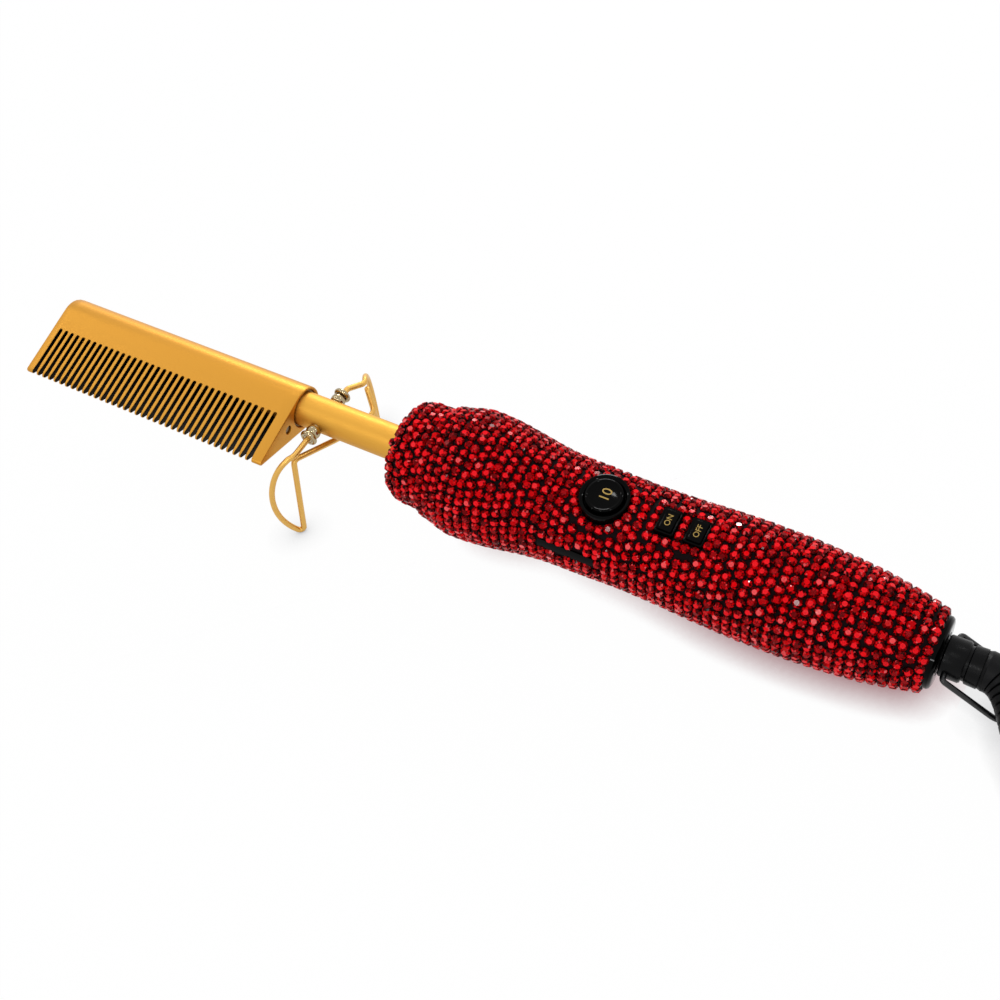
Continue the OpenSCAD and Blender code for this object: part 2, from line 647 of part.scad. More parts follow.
// Control board on four posts, with its larger components
module main_board() color("darkgreen") on_handle() difference() {
    block(board_x0, board_x1, -board_w / 2, board_w / 2, board_top - board_t, board_top);
    for (p = board_posts) post(p.x, p.y, board_top - board_t - 1, board_top + 1, board_screw_r + 0.1);
}
module board_screws() color("silver") on_handle() for (p = board_posts) {
    post(p.x, p.y, board_top - board_t - 4.5, board_top, board_screw_r - fit);
    post(p.x, p.y, board_top, board_top + 1.3, 1.9);
}
module triac() color("black") on_handle()
    block(board_x0 + 9, board_x0 + 13.5, -5, 5, board_top, board_top + 8.5);
module heat_sink() color("silver") on_handle()
    block(board_x0 + 13.5, board_x0 + 15, -7, 7, board_top, board_top + 8.5);
module capacitor() color("royalblue") on_handle()
    block(board_x0 + 17.5, board_x0 + 25, -5.5, 5.5, board_top, board_top + 7.5);
module control_chip() color("black") on_handle()
    block(off_x + 5, off_x + 10, -3, 3, board_top, board_top + 1.6);

// Swivel joint at the butt
mains_r = 0.8;
mains_y = screw_post_r + 1;
module mains_leads() color("brown") on_handle() for (s = [1, -1])
    translate([0, s * mains_y, board_top + mains_r]) rod(board_x1 - 1.5, socket_x0, mains_r);
module contact_brushes() color("gold") on_handle() for (s = [1, -1])
    block(journal_x0 + (s > 0 ? 0.3 : 2.3), journal_x0 + (s > 0 ? 1.3 : 3.3), -1.2, 1.2,
        s > 0 ? slip_r : -chamber_r + 0.15, s > 0 ? chamber_r - 0.15 : -slip_r);
module slip_rings() color("gold") place() for (x = [journal_x0 + 0.3, journal_x0 + 2.3])
    pipe(x, x + slip_t, slip_r - fit, clip_groove_r);
module swivel_clip() color("silver") place()
    pipe(chamber_x1 - clip_t - 0.1, chamber_x1 - 0.1, chamber_r - 0.4, clip_groove_r);
module swivel_socket() color("black") place() difference() {
    union() {
        rod(socket_x0, ring_x1 - 0.1, socket_r);
        rod(socket_flange_x1 - socket_flange_t, socket_flange_x1, socket_flange_r);
    }
    rod(journal_x0 - 0.2, chamber_x1, chamber_r);
    rod(chamber_x1 - e, ring_x1 + 1, journal_r + fit);
}
module end_ring() color("black") place() pipe(shell_x1, ring_x1, shell_r(shell_x1) - 0.2, end_hole_r);
module swivel_neck() color("black") place() difference() {
    union() {
        rod(journal_x0, chamber_x1, clip_groove_r - fit);
        rod(chamber_x1, neck_x0, journal_r);
        rod(neck_x0, neck_x1, neck_r);
        rod(neck_x1, sleeve_x0, neck_r - 0.9);
    }
    both_sides() translate([loop_x, neck_r - loop_pin_hole, 0]) rotate([-90, 0, 0])
        cylinder(h = 5, r = loop_pin_r + fit, $fn = fine);
}
module swivel_sleeve() color("black") place() rod(sleeve_x0, sleeve_x1, sleeve_r);
loop_side = concat([[0, -neck_r - loop_gap, 0]],
    bend([0, 0, 0], [0, -loop_half_w, 0], [5, -loop_half_w, 0], 1.2),
    [for (a = [0:15:75]) [loop_l - loop_half_w * (1 - sin(a)), -loop_half_w * cos(a), 0]]);
function mirrored(path) = [for (p = backward(path)) [p.x, -p.y, p.z]];
module hang_loop() color("black") place() translate([loop_x, 0, 0]) rotate([0, loop_drop, 0]) {
    even_tube(concat(loop_side, [[loop_l, 0, 0]], mirrored(loop_side)), loop_wire_r, 10);
    both_sides() rotate([-90, 0, 0]) translate([0, 0, neck_r - loop_pin_hole + 0.1])
        cylinder(h = loop_pin_hole + loop_gap + 0.1, r = loop_pin_r, $fn = fine);
}

// Boot: ribbed, tapered, and bent from the sleeve to the cord's first point
function placed(p) = [p.x * cos(tilt) + p.z * sin(tilt) - mid_x, p.y,
    p.z * cos(tilt) - p.x * sin(tilt) + lift];
boot_start = placed([sleeve_x1 + 0.02, 0, 0]);
boot_way = placed([sleeve_x1 + 1.02, 0, 0]) - boot_start;
boot_ribs = 7;
boot_steps = 4 * boot_ribs;
boot_bend = boot_start + boot_way;
cord_way = unit(cord_in[1] - cord_in[0]);
boot_path = concat([boot_start], [for (i = [0:boot_steps - 1]) bezier(boot_bend, boot_bend + boot_way * 8,
    cord_in[0] - cord_way * 6, cord_in[0] - cord_way, i / (boot_steps - 1))], [cord_in[0]]);
function boot_r(i) = sleeve_r - (sleeve_r - cord_r - 0.5) * i / boot_steps - (i % 4 == 2 ? 0.7 : 0);
module strain_boot() color("black") tube(boot_path, [for (i = [0:boot_steps + 1]) boot_r(max(i - 1, 0))], 20);

// Cord: two plain stretches, the coil's outer shape, its tie, and the plug
module cord_tube() color("black") {
    even_tube(cord_in, cord_r, 10);
    even_tube(cord_out, cord_r, 10);
}
module coil_ring(grow) translate([coil_x, coil_y, coil_z0 - grow]) rotate_extrude($fn = 96)
    translate([coil_mid_r - coil_half - grow, 0]) square([2 * (coil_half + grow), coil_h + 2 * grow]);
module cord_coil() color("black") coil_ring(0);
module cord_tie() color("black") difference() {
    intersection() {
        coil_ring(tie_t);
        translate([coil_x + coil_mid_r, coil_y, coil_h / 2])
            cube([2 * coil_half + 4, tie_w, coil_h + 6], center = true);
    }
    coil_ring(0);
}
module at_plug(x) translate([plug_x0 + x, plug_y, plug_z]) rotate([0, 90, 0]) children();
module at_pins(x) for (s = [1, -1]) translate([0, s * pin_gap / 2, 0]) at_plug(x) children();
module plug_body() color("black") difference() {
    union() {
        at_plug(plug_neck_l) linear_extrude(plug_l - plug_neck_l) square([plug_t, plug_w], center = true);
        at_plug(0) linear_extrude(plug_neck_l) square([plug_t - 2, plug_w - 10], center = true);
    }
    at_pins(plug_l - pin_root_l) cylinder(h = pin_root_l + 1, r = pin_root_r + fit, $fn = fine);
}
module plug_pins() color("silver") {
    at_pins(plug_l - pin_root_l) cylinder(h = pin_root_l + 1, r = pin_root_r, $fn = fine);
    at_pins(plug_l) cylinder(h = pin_l - pin_r / 2, r = pin_r, $fn = fine);
    at_pins(plug_l + pin_l - pin_r / 2) cylinder(h = pin_r / 2, r1 = pin_r, r2 = pin_r / 2, $fn = fine);
}

comb_head();
head_screw();
heater_core();
heat_spreader();
mica_sleeve();
thermistor();
thermal_fuse();
heater_leads();
sensor_leads();
barrel_tube();
barrel_bush();
pivot_bosses();
pivot_rings();
stand_wire();
nozzle_collar();
collar_crystals();
handle_upper();
handle_lower();
upper_crystals();
lower_crystals();
shell_screws();
side_vents();
dial_bezel();
dial_knob();
dial_pot();
on_frame();
off_frame();
on_button();
off_button();
on_plunger();
off_plunger();
tact_switches();
main_board();
board_screws();
triac();
heat_sink();
capacitor();
control_chip();
mains_leads();
contact_brushes();
slip_rings();
swivel_clip();
swivel_socket();
end_ring();
swivel_neck();
swivel_sleeve();
hang_loop();
strain_boot();
cord_tube();
cord_coil();
cord_tie();
plug_body();
plug_pins();
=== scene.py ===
import json
import math

import bmesh
import bpy
from mathutils import Matrix, Vector


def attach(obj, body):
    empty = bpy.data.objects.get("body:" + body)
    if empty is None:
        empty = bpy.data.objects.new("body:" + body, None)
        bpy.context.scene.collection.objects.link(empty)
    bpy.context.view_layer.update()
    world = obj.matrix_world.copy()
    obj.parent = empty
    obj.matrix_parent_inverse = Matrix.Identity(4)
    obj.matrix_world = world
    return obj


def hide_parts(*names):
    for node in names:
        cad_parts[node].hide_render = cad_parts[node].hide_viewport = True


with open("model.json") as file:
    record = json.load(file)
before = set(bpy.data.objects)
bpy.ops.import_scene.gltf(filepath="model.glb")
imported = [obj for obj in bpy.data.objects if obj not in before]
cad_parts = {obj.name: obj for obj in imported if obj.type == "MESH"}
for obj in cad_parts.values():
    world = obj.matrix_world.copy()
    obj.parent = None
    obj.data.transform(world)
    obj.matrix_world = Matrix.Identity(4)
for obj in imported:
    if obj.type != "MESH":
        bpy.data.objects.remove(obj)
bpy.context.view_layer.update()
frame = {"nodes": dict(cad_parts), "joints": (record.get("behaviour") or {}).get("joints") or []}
MM = 0.001

# ---------------------------------------------------------------- the tool's own axes
# The tool lies on the table on its stand and on the underside of the handle, so
# its barrel is tipped. Lengths along it are in mm from the comb's front end.
joints = {j["name"]: j for j in frame["joints"]}
HINGE_X = 98.6
swivel_axis = joints["cord_turn"]["axis"]
TIP = math.atan2(-swivel_axis[2], swivel_axis[0])
hinge_at = Vector(joints["stand_fold"]["pos_m"]) / MM
TOOL = (Matrix.Translation(hinge_at * MM) @ Matrix.Rotation(TIP, 4, "Y")
        @ Matrix.Diagonal((MM, MM, MM, 1)) @ Matrix.Translation((-HINGE_X, 0, 0)))
ROLL = Matrix.Rotation(math.radians(7.5), 4, "X")
HANDLE = TOOL @ ROLL


def on_tool(x, y=0.0, z=0.0):
    return TOOL @ Vector((x, y, z))


# ---------------------------------------------------------------- camera
# The view of the whole tool from its teeth side and the cord end, from above.
camera_data = bpy.data.cameras.new("camera")
camera = bpy.data.objects.new("camera", camera_data)
bpy.context.scene.collection.objects.link(camera)
bpy.context.scene.camera = camera
camera_data.sensor_width = 36
camera_data.lens = 54
camera_data.clip_start = 0.01
camera_data.clip_end = 20
turn = TOOL.to_3x3().normalized()
camera_right = turn @ Vector((0.8700065, 0.4855781, -0.0854551))
camera_up = turn @ Vector((-0.3390025, 0.7149937, 0.611442))
camera_back = turn @ Vector((0.3580027, -0.502989, 0.7866614))
camera.matrix_world = Matrix.Translation(on_tool(315.496, -220.733, 336.954)) @ Matrix(
    (camera_right, camera_up, camera_back)).transposed().to_4x4()


# ---------------------------------------------------------------- mains cord
# A round two-core PVC flex, 6 mm thick and 1.43 m long, extruded in black. It comes
# out of the moulded boot and is put away in a coil of three layers, held by a strap,
# with the plug lying on top.
def to_linear(hex_colour):
    parts = [int(hex_colour[i:i + 2], 16) / 255 for i in (1, 3, 5)]
    return tuple(c / 12.92 if c <= 0.04045 else ((c + 0.055) / 1.055) ** 2.4 for c in parts) + (1.0,)


def add_node(tree, kind, settings=None, links=None):
    """One node: settings are its properties or its inputs' values, links its inputs' sources."""
    new = tree.nodes.new(kind)
    for key, value in (settings or {}).items():
        if isinstance(key, str) and hasattr(new, key):
            setattr(new, key, value)
        else:
            new.inputs[key].default_value = value
    for key, source in (links or {}).items():
        tree.links.new(source, new.inputs[key])
    return new


def new_material(name, colour, roughness, metallic=0.0, **sockets):
    material = bpy.data.materials.new(name)
    material.use_nodes = True
    shader = material.node_tree.nodes["Principled BSDF"]
    shader.inputs["Base Color"].default_value = to_linear(colour)
    shader.inputs["Roughness"].default_value = roughness
    shader.inputs["Metallic"].default_value = metallic
    for key, value in sockets.items():
        shader.inputs[key.replace("_", " ").title().replace("Ior", "IOR")].default_value = value
    return material, material.node_tree, shader


def grain(tree, shader, size_mm, height, roughness=None, stretch=(1, 1, 1), detail=3.0):
    """Fine surface grain of a real size, as bump and as a small change of roughness."""
    place = add_node(tree, "ShaderNodeTexCoord")
    mapping = add_node(tree, "ShaderNodeMapping", {"Scale": stretch, "Rotation": (0, TIP, 0)},
                       {"Vector": place.outputs["Object"]})
    noise = add_node(tree, "ShaderNodeTexNoise", {"Scale": 1 / (size_mm * MM), "Detail": detail},
                     {"Vector": mapping.outputs[0]})
    bump = add_node(tree, "ShaderNodeBump", {"Strength": 1.0, "Distance": height * MM},
                    {"Height": noise.outputs[0]})
    tree.links.new(bump.outputs[0], shader.inputs["Normal"])
    if roughness:
        spread = add_node(tree, "ShaderNodeMapRange", {"To Min": roughness[0], "To Max": roughness[1],
                                                       "From Min": 0.3, "From Max": 0.7},
                          {"Value": noise.outputs[0]})
        tree.links.new(spread.outputs[0], shader.inputs["Roughness"])
    return noise


def finish_mesh(name, mesh, material, body, replaced=(), smooth=40.0):
    """Links a mesh that is already in its place, shades it and rides it on its body."""
    piece = bpy.data.objects.new(name, mesh)
    bpy.context.scene.collection.objects.link(piece)
    mesh.materials.clear()
    mesh.materials.append(material)
    if smooth:
        mesh.polygons.foreach_set("use_smooth", [True] * len(mesh.polygons))
        mesh.set_sharp_from_angle(angle=math.radians(smooth))
    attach(piece, body)
    if replaced:
        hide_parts(*replaced)
    return piece


def mesh_from(name, points, faces, place=None, merge=1e-7):
    """A mesh from points and faces, moved to its place, with its doubles merged and faces outwards."""
    shape = bmesh.new()
    corners = [shape.verts.new(p) for p in points]
    for face in faces:
        around = []
        for i in face:
            if corners[i] not in around:
                around.append(corners[i])
        if len(around) > 2:
            try:
                shape.faces.new(around)
            except ValueError:
                pass
    bmesh.ops.remove_doubles(shape, verts=shape.verts, dist=merge)
    bmesh.ops.recalc_face_normals(shape, faces=shape.faces)
    mesh = bpy.data.meshes.new(name)
    if place is not None:
        shape.transform(place)
    shape.to_mesh(mesh)
    shape.free()
    return mesh


def swept(path, radii, sides):
    """Points and faces of a tube along a path, with flat ends. Its frame turns as little as it can."""
    count = len(path)
    points, faces = [], []
    normal = None
    for i, at in enumerate(path):
        before = path[i - 1] if i else at
        after = path[i + 1] if i < count - 1 else at
        along = (after - before).normalized()
        if normal is None:
            normal = along.cross(Vector((0.3, 0.2, 1))).normalized()
        normal = (normal - along * normal.dot(along)).normalized()
        across = along.cross(normal)
        r = radii[i] if hasattr(radii, "__len__") else radii
        points += [at + r * (math.cos(a) * normal + math.sin(a) * across)
                   for a in (math.tau * k / sides for k in range(sides))]
    for i in range(count - 1):
        here, there = i * sides, (i + 1) * sides
        faces += [(here + k, here + (k + 1) % sides, there + (k + 1) % sides, there + k)
                  for k in range(sides)]
    faces += [tuple(range(sides)), tuple((count - 1) * sides + k for k in reversed(range(sides)))]
    return points, faces


def bezier(a, b, c, d, t):
    return a * (1 - t) ** 3 + 3 * b * t * (1 - t) ** 2 + 3 * c * t * t * (1 - t) + d * t ** 3


CORD_R = 3.0
cord_in = [Vector(p) for p in (
    (158.5, -16, 9.6), (161.1, -19.6, 9.3), (164.9, -24, 9.3), (170.1, -29.7, 9.5), (175.5, -35.5, 9.6))]
cord_out = [Vector(p) for p in (
    (179.3, -30.8, 22.2), (186, -35.9, 23.6), (192.6, -38.1, 24.9), (196, -38.5, 25.45), (199, -38.5, 25.45))]
plug_grip = Vector((204, -38.5, 25.45))
boot_start = on_tool(300.32) / MM
boot_way = turn @ Vector((1, 0, 0))
boot_bend = boot_start + boot_way
cord_way = (cord_in[1] - cord_in[0]).normalized()


def bezier_path(a, b, c, d, steps):
    return [bezier(a, b, c, d, i / steps) for i in range(steps + 1)]


boot_curve = (boot_bend, boot_bend + boot_way * 8, cord_in[0] - cord_way * 6, cord_in[0] - cord_way)
boot_path = [boot_start] + bezier_path(*boot_curve, 14) + [cord_in[0]]

# The coil is wound from outside in on its middle layer, out on the table, and in
# again on top. Each stop is (degrees turned, radius, height), and between stops the
# cord passes smoothly from one to the next, about a diameter from its neighbours.
COIL_X, COIL_Y, COIL_FROM = 201, -10, 225
TOP_LAYER, MIDDLE_LAYER, TABLE_LAYER, OVER_COIL = 15.6, 9.6, 3.6, 22
OUTER, MIDDLE, INNER = 36, 30, 24
WINDING = ((0, OUTER, MIDDLE_LAYER), (70, OUTER, MIDDLE_LAYER), (250, MIDDLE, MIDDLE_LAYER),
           (430, MIDDLE, MIDDLE_LAYER), (610, INNER, MIDDLE_LAYER), (690, INNER, MIDDLE_LAYER),
           (810, INNER, TABLE_LAYER), (970, INNER, TABLE_LAYER), (1130, MIDDLE, TABLE_LAYER),
           (1330, MIDDLE, TABLE_LAYER), (1490, OUTER, TABLE_LAYER), (1690, OUTER, TABLE_LAYER),
           (1775, OUTER, TOP_LAYER), (1995, OUTER, TOP_LAYER), (2115, MIDDLE, TOP_LAYER),
           (2315, MIDDLE, TOP_LAYER), (2415, MIDDLE, OVER_COIL), (2519, MIDDLE, OVER_COIL))


def ease(a, b, t):
    """From a to b as t goes from 0 to 1, level at both ends."""
    return a + (b - a) * (1 - math.cos(math.pi * t)) / 2


def coil_point(turned):
    """The middle of the cord after so many degrees of winding."""
    k = max(i for i, stop in enumerate(WINDING[:-1]) if stop[0] <= turned)
    (t0, r0, z0), (t1, r1, z1) = WINDING[k], WINDING[k + 1]
    share = (turned - t0) / (t1 - t0)
    radius, angle = ease(r0, r1, share), math.radians(COIL_FROM + turned)
    return Vector((COIL_X + radius * math.cos(angle), COIL_Y + radius * math.sin(angle), ease(z0, z1, share)))


cord_path = boot_path + cord_in[1:-1] + [coil_point(t) for t in range(0, WINDING[-1][0], 10)]
cord_path += cord_out + [plug_grip]
cord_curve = bpy.data.curves.new("cord", "CURVE")
cord_curve.dimensions = "3D"
cord_curve.bevel_depth = CORD_R * MM
cord_curve.bevel_resolution = 4
cord_curve.use_fill_caps = True
cord_line = cord_curve.splines.new("POLY")
cord_line.points.add(len(cord_path) - 1)
for point, at in zip(cord_line.points, cord_path):
    point.co = (*(at * MM), 1)
cord_line.use_smooth = True
cord = bpy.data.objects.new("mains_cord", cord_curve)
bpy.context.scene.collection.objects.link(cord)

# Black PVC: dark grey-black, satin, with a faint mottle from the extruder
black_pvc, tree, shader = new_material("black_pvc", "#060607", 0.42, Specular_IOR_Level=0.12)
grain(tree, shader, 0.6, 0.03, (0.34, 0.5))
cord_curve.materials.append(black_pvc)
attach(cord, "cord_swivel")
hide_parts("cord_tube", "cord_coil")

# ---------------------------------------------------------------- strain-relief boot
# Moulded soft PVC over the cord, in one piece with the swivel's sleeve. Cut
# grooves all along it let it bend without kinking the cord.
BOOT_RIBS, BOOT_STEPS = 9, 160


def smooth_step(v):
    v = min(1.0, max(0.0, v))
    return v * v * (3 - 2 * v)


def boot_radius(t):
    body = 5.5 - 1.9 * t ** 1.2
    phase = (t * BOOT_RIBS) % 1
    groove = 0.75 * (1 - smooth_step(abs(phase - 0.72) / 0.17)) if 0.12 < t < 0.95 else 0
    return body - groove


boot_fine = [boot_start] + bezier_path(*boot_curve, BOOT_STEPS - 2) + [cord_in[0]]
boot_radii = [boot_radius(i / BOOT_STEPS) for i in range(BOOT_STEPS + 1)]
boot_radii[0] -= 0.4
boot_radii[1] -= 0.1
boot_radii[-1] -= 0.35
points, faces = swept([p * MM for p in boot_fine], [r * MM for r in boot_radii], 32)
boot = finish_mesh("strain_boot_piece", mesh_from("boot", points, faces), black_pvc, "cord_swivel",
                   ["strain_boot"], 35)

# ---------------------------------------------------------------- plug and cord strap
# A moulded two-pin plug with round brass pins, and a hook-and-loop strap round
# the coil.
PLUG_X, PLUG_Y, PLUG_Z = 199.0, -38.5, 25.45


def rounded_rectangle(width, height, radius, steps=6):
    ring = []
    for cx, cy, start in ((1, 1, 0), (-1, 1, 90), (-1, -1, 180), (1, -1, 270)):
        for k in range(steps + 1):
            a = math.radians(start + 90 * k / steps)
            ring.append((cx * (width / 2 - radius) + radius * math.cos(a),
                         cy * (height / 2 - radius) + radius * math.sin(a)))
    return ring


def lofted(rings, closed=False):
    """Points and faces of a loft through rings, with flat ends or with its last ring joined to its first."""
    sides, count = len(rings[0]), len(rings)
    points, faces = [p for ring in rings for p in ring], []
    for i in range(count if closed else count - 1):
        here, there = i * sides, (i + 1) % count * sides
        faces += [(here + k, here + (k + 1) % sides, there + (k + 1) % sides, there + k)
                  for k in range(sides)]
    if not closed:
        faces += [tuple(range(sides)), tuple((count - 1) * sides + k for k in range(sides))]
    return points, faces


plug_rings = []
for x, width, height, radius in (
        (0, 9, 9, 4.4), (0.6, 10.6, 10.6, 4.8), (6, 12.5, 11.2, 4.8), (8.2, 16, 11.7, 4.6),
        (10.4, 21, 12.6, 4.4), (13, 24.6, 13.4, 4.2), (16, 25.8, 13.7, 4), (24, 26, 13.7, 4),
        (31.6, 25.4, 13.5, 4), (33.2, 25, 13.2, 4), (33.85, 24.2, 12.4, 3.8), (34, 23.2, 11.4, 3.4)):
    plug_rings.append([(PLUG_X + x, PLUG_Y + py, PLUG_Z + pz)
                       for py, pz in rounded_rectangle(width, height, radius)])
points, faces = lofted(plug_rings)
plug = finish_mesh("plug_moulding", mesh_from("plug", points, faces, Matrix.Scale(MM, 4), 1e-8), black_pvc,
                   "cord_swivel", ["plug_body"], 50)


def turned_points(profile, sides, centre=(0, 0, 0), axis="X"):
    """Points and faces of a closed profile of (along, radius) pairs turned about an axis."""
    rings = []
    for k in range(sides):
        a = math.tau * k / sides
        ring = []
        for along, radius in profile:
            u, v = radius * math.cos(a), radius * math.sin(a)
            local = {"X": (along, u, v), "Y": (u, along, v), "Z": (u, v, along)}[axis]
            ring.append(tuple(c + p for c, p in zip(centre, local)))
        rings.append(ring)
    return lofted(rings, closed=True)


def joined(parts):
    """One list of points and one of faces from several."""
    all_points, all_faces = [], []
    for some_points, some_faces in parts:
        start = len(all_points)
        all_points += some_points
        all_faces += [tuple(i + start for i in face) for face in some_faces]
    return all_points, all_faces


PIN_APART = 18.6
pin_profile = [(30, 0), (30, 1.5), (34, 1.5), (34, 2.0), (52, 2.0), (52.4, 1.9), (52.8, 1.5),
               (53, 0.9), (53, 0)]
points, faces = joined([turned_points(pin_profile, 32, (PLUG_X, PLUG_Y + s * PIN_APART / 2, PLUG_Z))
                        for s in (1, -1)])
brass_pins, tree, shader = new_material("nickelled_brass", "#D8C9A0", 0.22, 1.0)
grain(tree, shader, 0.5, 0.004, (0.16, 0.3), (1, 0.1, 1))
pins = finish_mesh("plug_contacts", mesh_from("pins", points, faces, Matrix.Scale(MM, 4), 1e-8), brass_pins,
                   "cord_swivel", ["plug_pins"], 40)

# Woven nylon strap, 9 mm wide and 0.6 mm thick, which follows the curve of the coil
STRAP_W, STRAP_OUT, STRAP_IN = 9.0, 19.2, 18.04


def strap_ring(y, size, radius):
    """The strap's outline across the coil, at a place along its width."""
    return [(COIL_X + math.sqrt((MIDDLE + px) ** 2 - y * y), COIL_Y + y, MIDDLE_LAYER + pz)
            for px, pz in rounded_rectangle(size, size, radius, 8)]


strap_rings = [strap_ring(y, STRAP_OUT - (0.2 if abs(y) > 4.4 else 0), 3.4)
               for y in (-STRAP_W / 2, 0.2 - STRAP_W / 2, 0.0, STRAP_W / 2 - 0.2, STRAP_W / 2)]
strap_rings += [strap_ring(y, STRAP_IN, 2.9) for y in (STRAP_W / 2, 0.0, -STRAP_W / 2)]
points, faces = lofted(strap_rings, closed=True)
THREAD_APART = 0.8
black_nylon, tree, shader = new_material("black_nylon_strap", "#18181A", 0.85, Sheen_Weight=0.15)
place = add_node(tree, "ShaderNodeTexCoord")
threads = [add_node(tree, "ShaderNodeTexWave",
                    {"Scale": 1 / (THREAD_APART * MM * math.tau), "bands_direction": way},
                    {"Vector": place.outputs["Object"]}) for way in "XY"]
both = add_node(tree, "ShaderNodeMath", {"operation": "MULTIPLY"},
                {0: threads[0].outputs["Fac"], 1: threads[1].outputs["Fac"]})
bump = add_node(tree, "ShaderNodeBump", {"Distance": 0.1 * MM}, {"Height": both.outputs[0]})
tree.links.new(bump.outputs[0], shader.inputs["Normal"])
strap = finish_mesh("cord_strap", mesh_from("strap", points, faces, Matrix.Scale(MM, 4), 1e-8), black_nylon,
                    "cord_swivel", ["cord_tie"], 30)

# ---------------------------------------------------------------- comb head
# An aluminium extrusion of teardrop section, anodised in satin gold. The teeth
# are sawn across it, their corners broken and their tips rounded in a tumbler.
HEAD_L, SPINE_R, REACH, TIP_R = 91.4, 7.0, 24.5, 0.9
SLOT_N, PITCH, SLOT_W, SLOT_START, SLOT_ROOT = 37, 2.33, 1.25, 3.2, 8.3
TIP_Y = -(REACH - TIP_R)
wedge = math.asin((SPINE_R - TIP_R) / -TIP_Y)


def section_row(y_or_angle, part):
    """(y, z, inward normal) of the section's upper half at a place on it."""
    if part == "spine":
        a = y_or_angle
        return SPINE_R * math.sin(a), SPINE_R * math.cos(a), (-math.sin(a), -math.cos(a))
    if part == "tip":
        a = y_or_angle
        return TIP_Y + TIP_R * math.sin(a), TIP_R * math.cos(a), (-math.sin(a), -math.cos(a))
    y = y_or_angle
    along = (y - SPINE_R * -math.sin(wedge)) / (TIP_Y - SPINE_R * -math.sin(wedge) - TIP_R * math.sin(wedge))
    z = SPINE_R * math.cos(wedge) + along * (TIP_R - SPINE_R) * math.cos(wedge)
    return y, z, (math.sin(wedge), -math.cos(wedge))


half = SLOT_W / 2
spine_angles = (90, 78, 66, 54, 42, 30, 18, 6, -6, -math.degrees(wedge))
rows = [section_row(math.radians(a), "spine") for a in spine_angles]
flank = [-5.0, -SLOT_ROOT + 0.12]
flank += [-SLOT_ROOT - half * (1 - math.cos(math.radians(a))) for a in (0, 25, 50, 70, 90)]
flank += [-13, -18, -20.5, -22, -23, TIP_Y - TIP_R * math.sin(wedge)]
rows += [section_row(y, "flank") for y in flank]
rows += [section_row(math.radians(a), "tip") for a in (-32, -50, -70, -90)]


def slot_half(y):
    """Half width of a slot at a depth: round at its closed end, wider between the tips."""
    depth = -SLOT_ROOT - y
    if depth < 1e-9:
        return 0.0
    open_part = half if depth >= half else math.sqrt(half ** 2 - (half - depth) ** 2)
    return open_part + 0.26 * max(0.0, (-20 - y) / 4.5) ** 2


EDGE = 0.12
END_BREAK = 0.45
FRONT_ROUND = 3.0


def row_points(row, side):
    """All the points of one row, from the front end to the rear end."""
    y, z, inward = row
    front = FRONT_ROUND - math.sqrt(max(0.0, FRONT_ROUND ** 2 - max(0.0, y - (SPINE_R - FRONT_ROUND)) ** 2))
    found = []

    def put(x, inset):
        found.append((x, y + inward[0] * inset, side * (z + inward[1] * inset)))

    put(front, END_BREAK)
    put(front + 0.13, 0.13)
    put(front + END_BREAK, 0)
    for i in range(SLOT_N):
        middle = SLOT_START + i * PITCH
        w = slot_half(y)
        e = EDGE if w else 0.0
        step = min(w, EDGE) / EDGE
        put(middle - w - EDGE * step, 0)
        put(middle - w, e * step)
        put(middle + w, e * step)
        put(middle + w + EDGE * step, 0)
    put(HEAD_L - END_BREAK, 0)
    put(HEAD_L - 0.13, 0.13)
    put(HEAD_L, END_BREAK)
    return found


columns = 6 + 4 * SLOT_N
points, faces = [], []
loop = [(row, 1) for row in rows] + [(row, -1) for row in reversed(rows)]
for row, side in loop:
    points += row_points(row, side)
total = len(loop)
for j in range(total):
    n = (j + 1) % total
    deep = min(loop[j][0][0], loop[n][0][0]) < -SLOT_ROOT - 1e-6
    for c in range(columns - 1):
        is_slot = c >= 4 and c < columns - 3 and (c - 4) % 4 == 0
        if is_slot and deep:
            continue
        faces.append((j * columns + c, j * columns + c + 1, n * columns + c + 1, n * columns + c))
# Walls of the slots, from the upper flank to the lower one
for j in range(len(rows) - 1):
    if min(rows[j][0], rows[j + 1][0]) > -SLOT_ROOT - 1e-6:
        continue
    under, under_next = total - 1 - j, total - 2 - j
    for i in range(SLOT_N):
        for c in (4 + 4 * i, 5 + 4 * i):
            faces.append((j * columns + c, (j + 1) * columns + c,
                          under_next * columns + c, under * columns + c))
faces.append(tuple(j * columns for j in range(total)))
faces.append(tuple(j * columns + columns - 1 for j in range(total)))
head_mesh = mesh_from("comb_head_shape", points, faces, None, 1e-5)

# The rear end is bored for the barrel and has a set screw that holds the heater
SCREW_Y = -9.4
main_bore = [(60, 0), (60, 6.0), (HEAD_L - 0.35, 6.0), (HEAD_L + 0.2, 6.5), (HEAD_L + 1, 6.5),
             (HEAD_L + 1, 0)]
screw_bore = [(80, 0), (80, 1.32), (HEAD_L - 0.2, 1.32), (HEAD_L + 0.1, 1.62), (HEAD_L + 1, 1.62),
              (HEAD_L + 1, 0)]
bore_points, bore_faces = joined([turned_points(main_bore, 96),
                                  turned_points(screw_bore, 40, (0, SCREW_Y, 0))])
cutter = bpy.data.objects.new("bore_cutter", mesh_from("bores", bore_points, bore_faces))
head = bpy.data.objects.new("head_blank", head_mesh)
for piece in (cutter, head):
    bpy.context.scene.collection.objects.link(piece)
cut = head.modifiers.new("bores", "BOOLEAN")
cut.object = cutter
cut.operation = "DIFFERENCE"
cut.solver = "EXACT"
bpy.context.view_layer.update()
depsgraph = bpy.context.evaluated_depsgraph_get()
bored = bpy.data.meshes.new_from_object(head.evaluated_get(depsgraph))
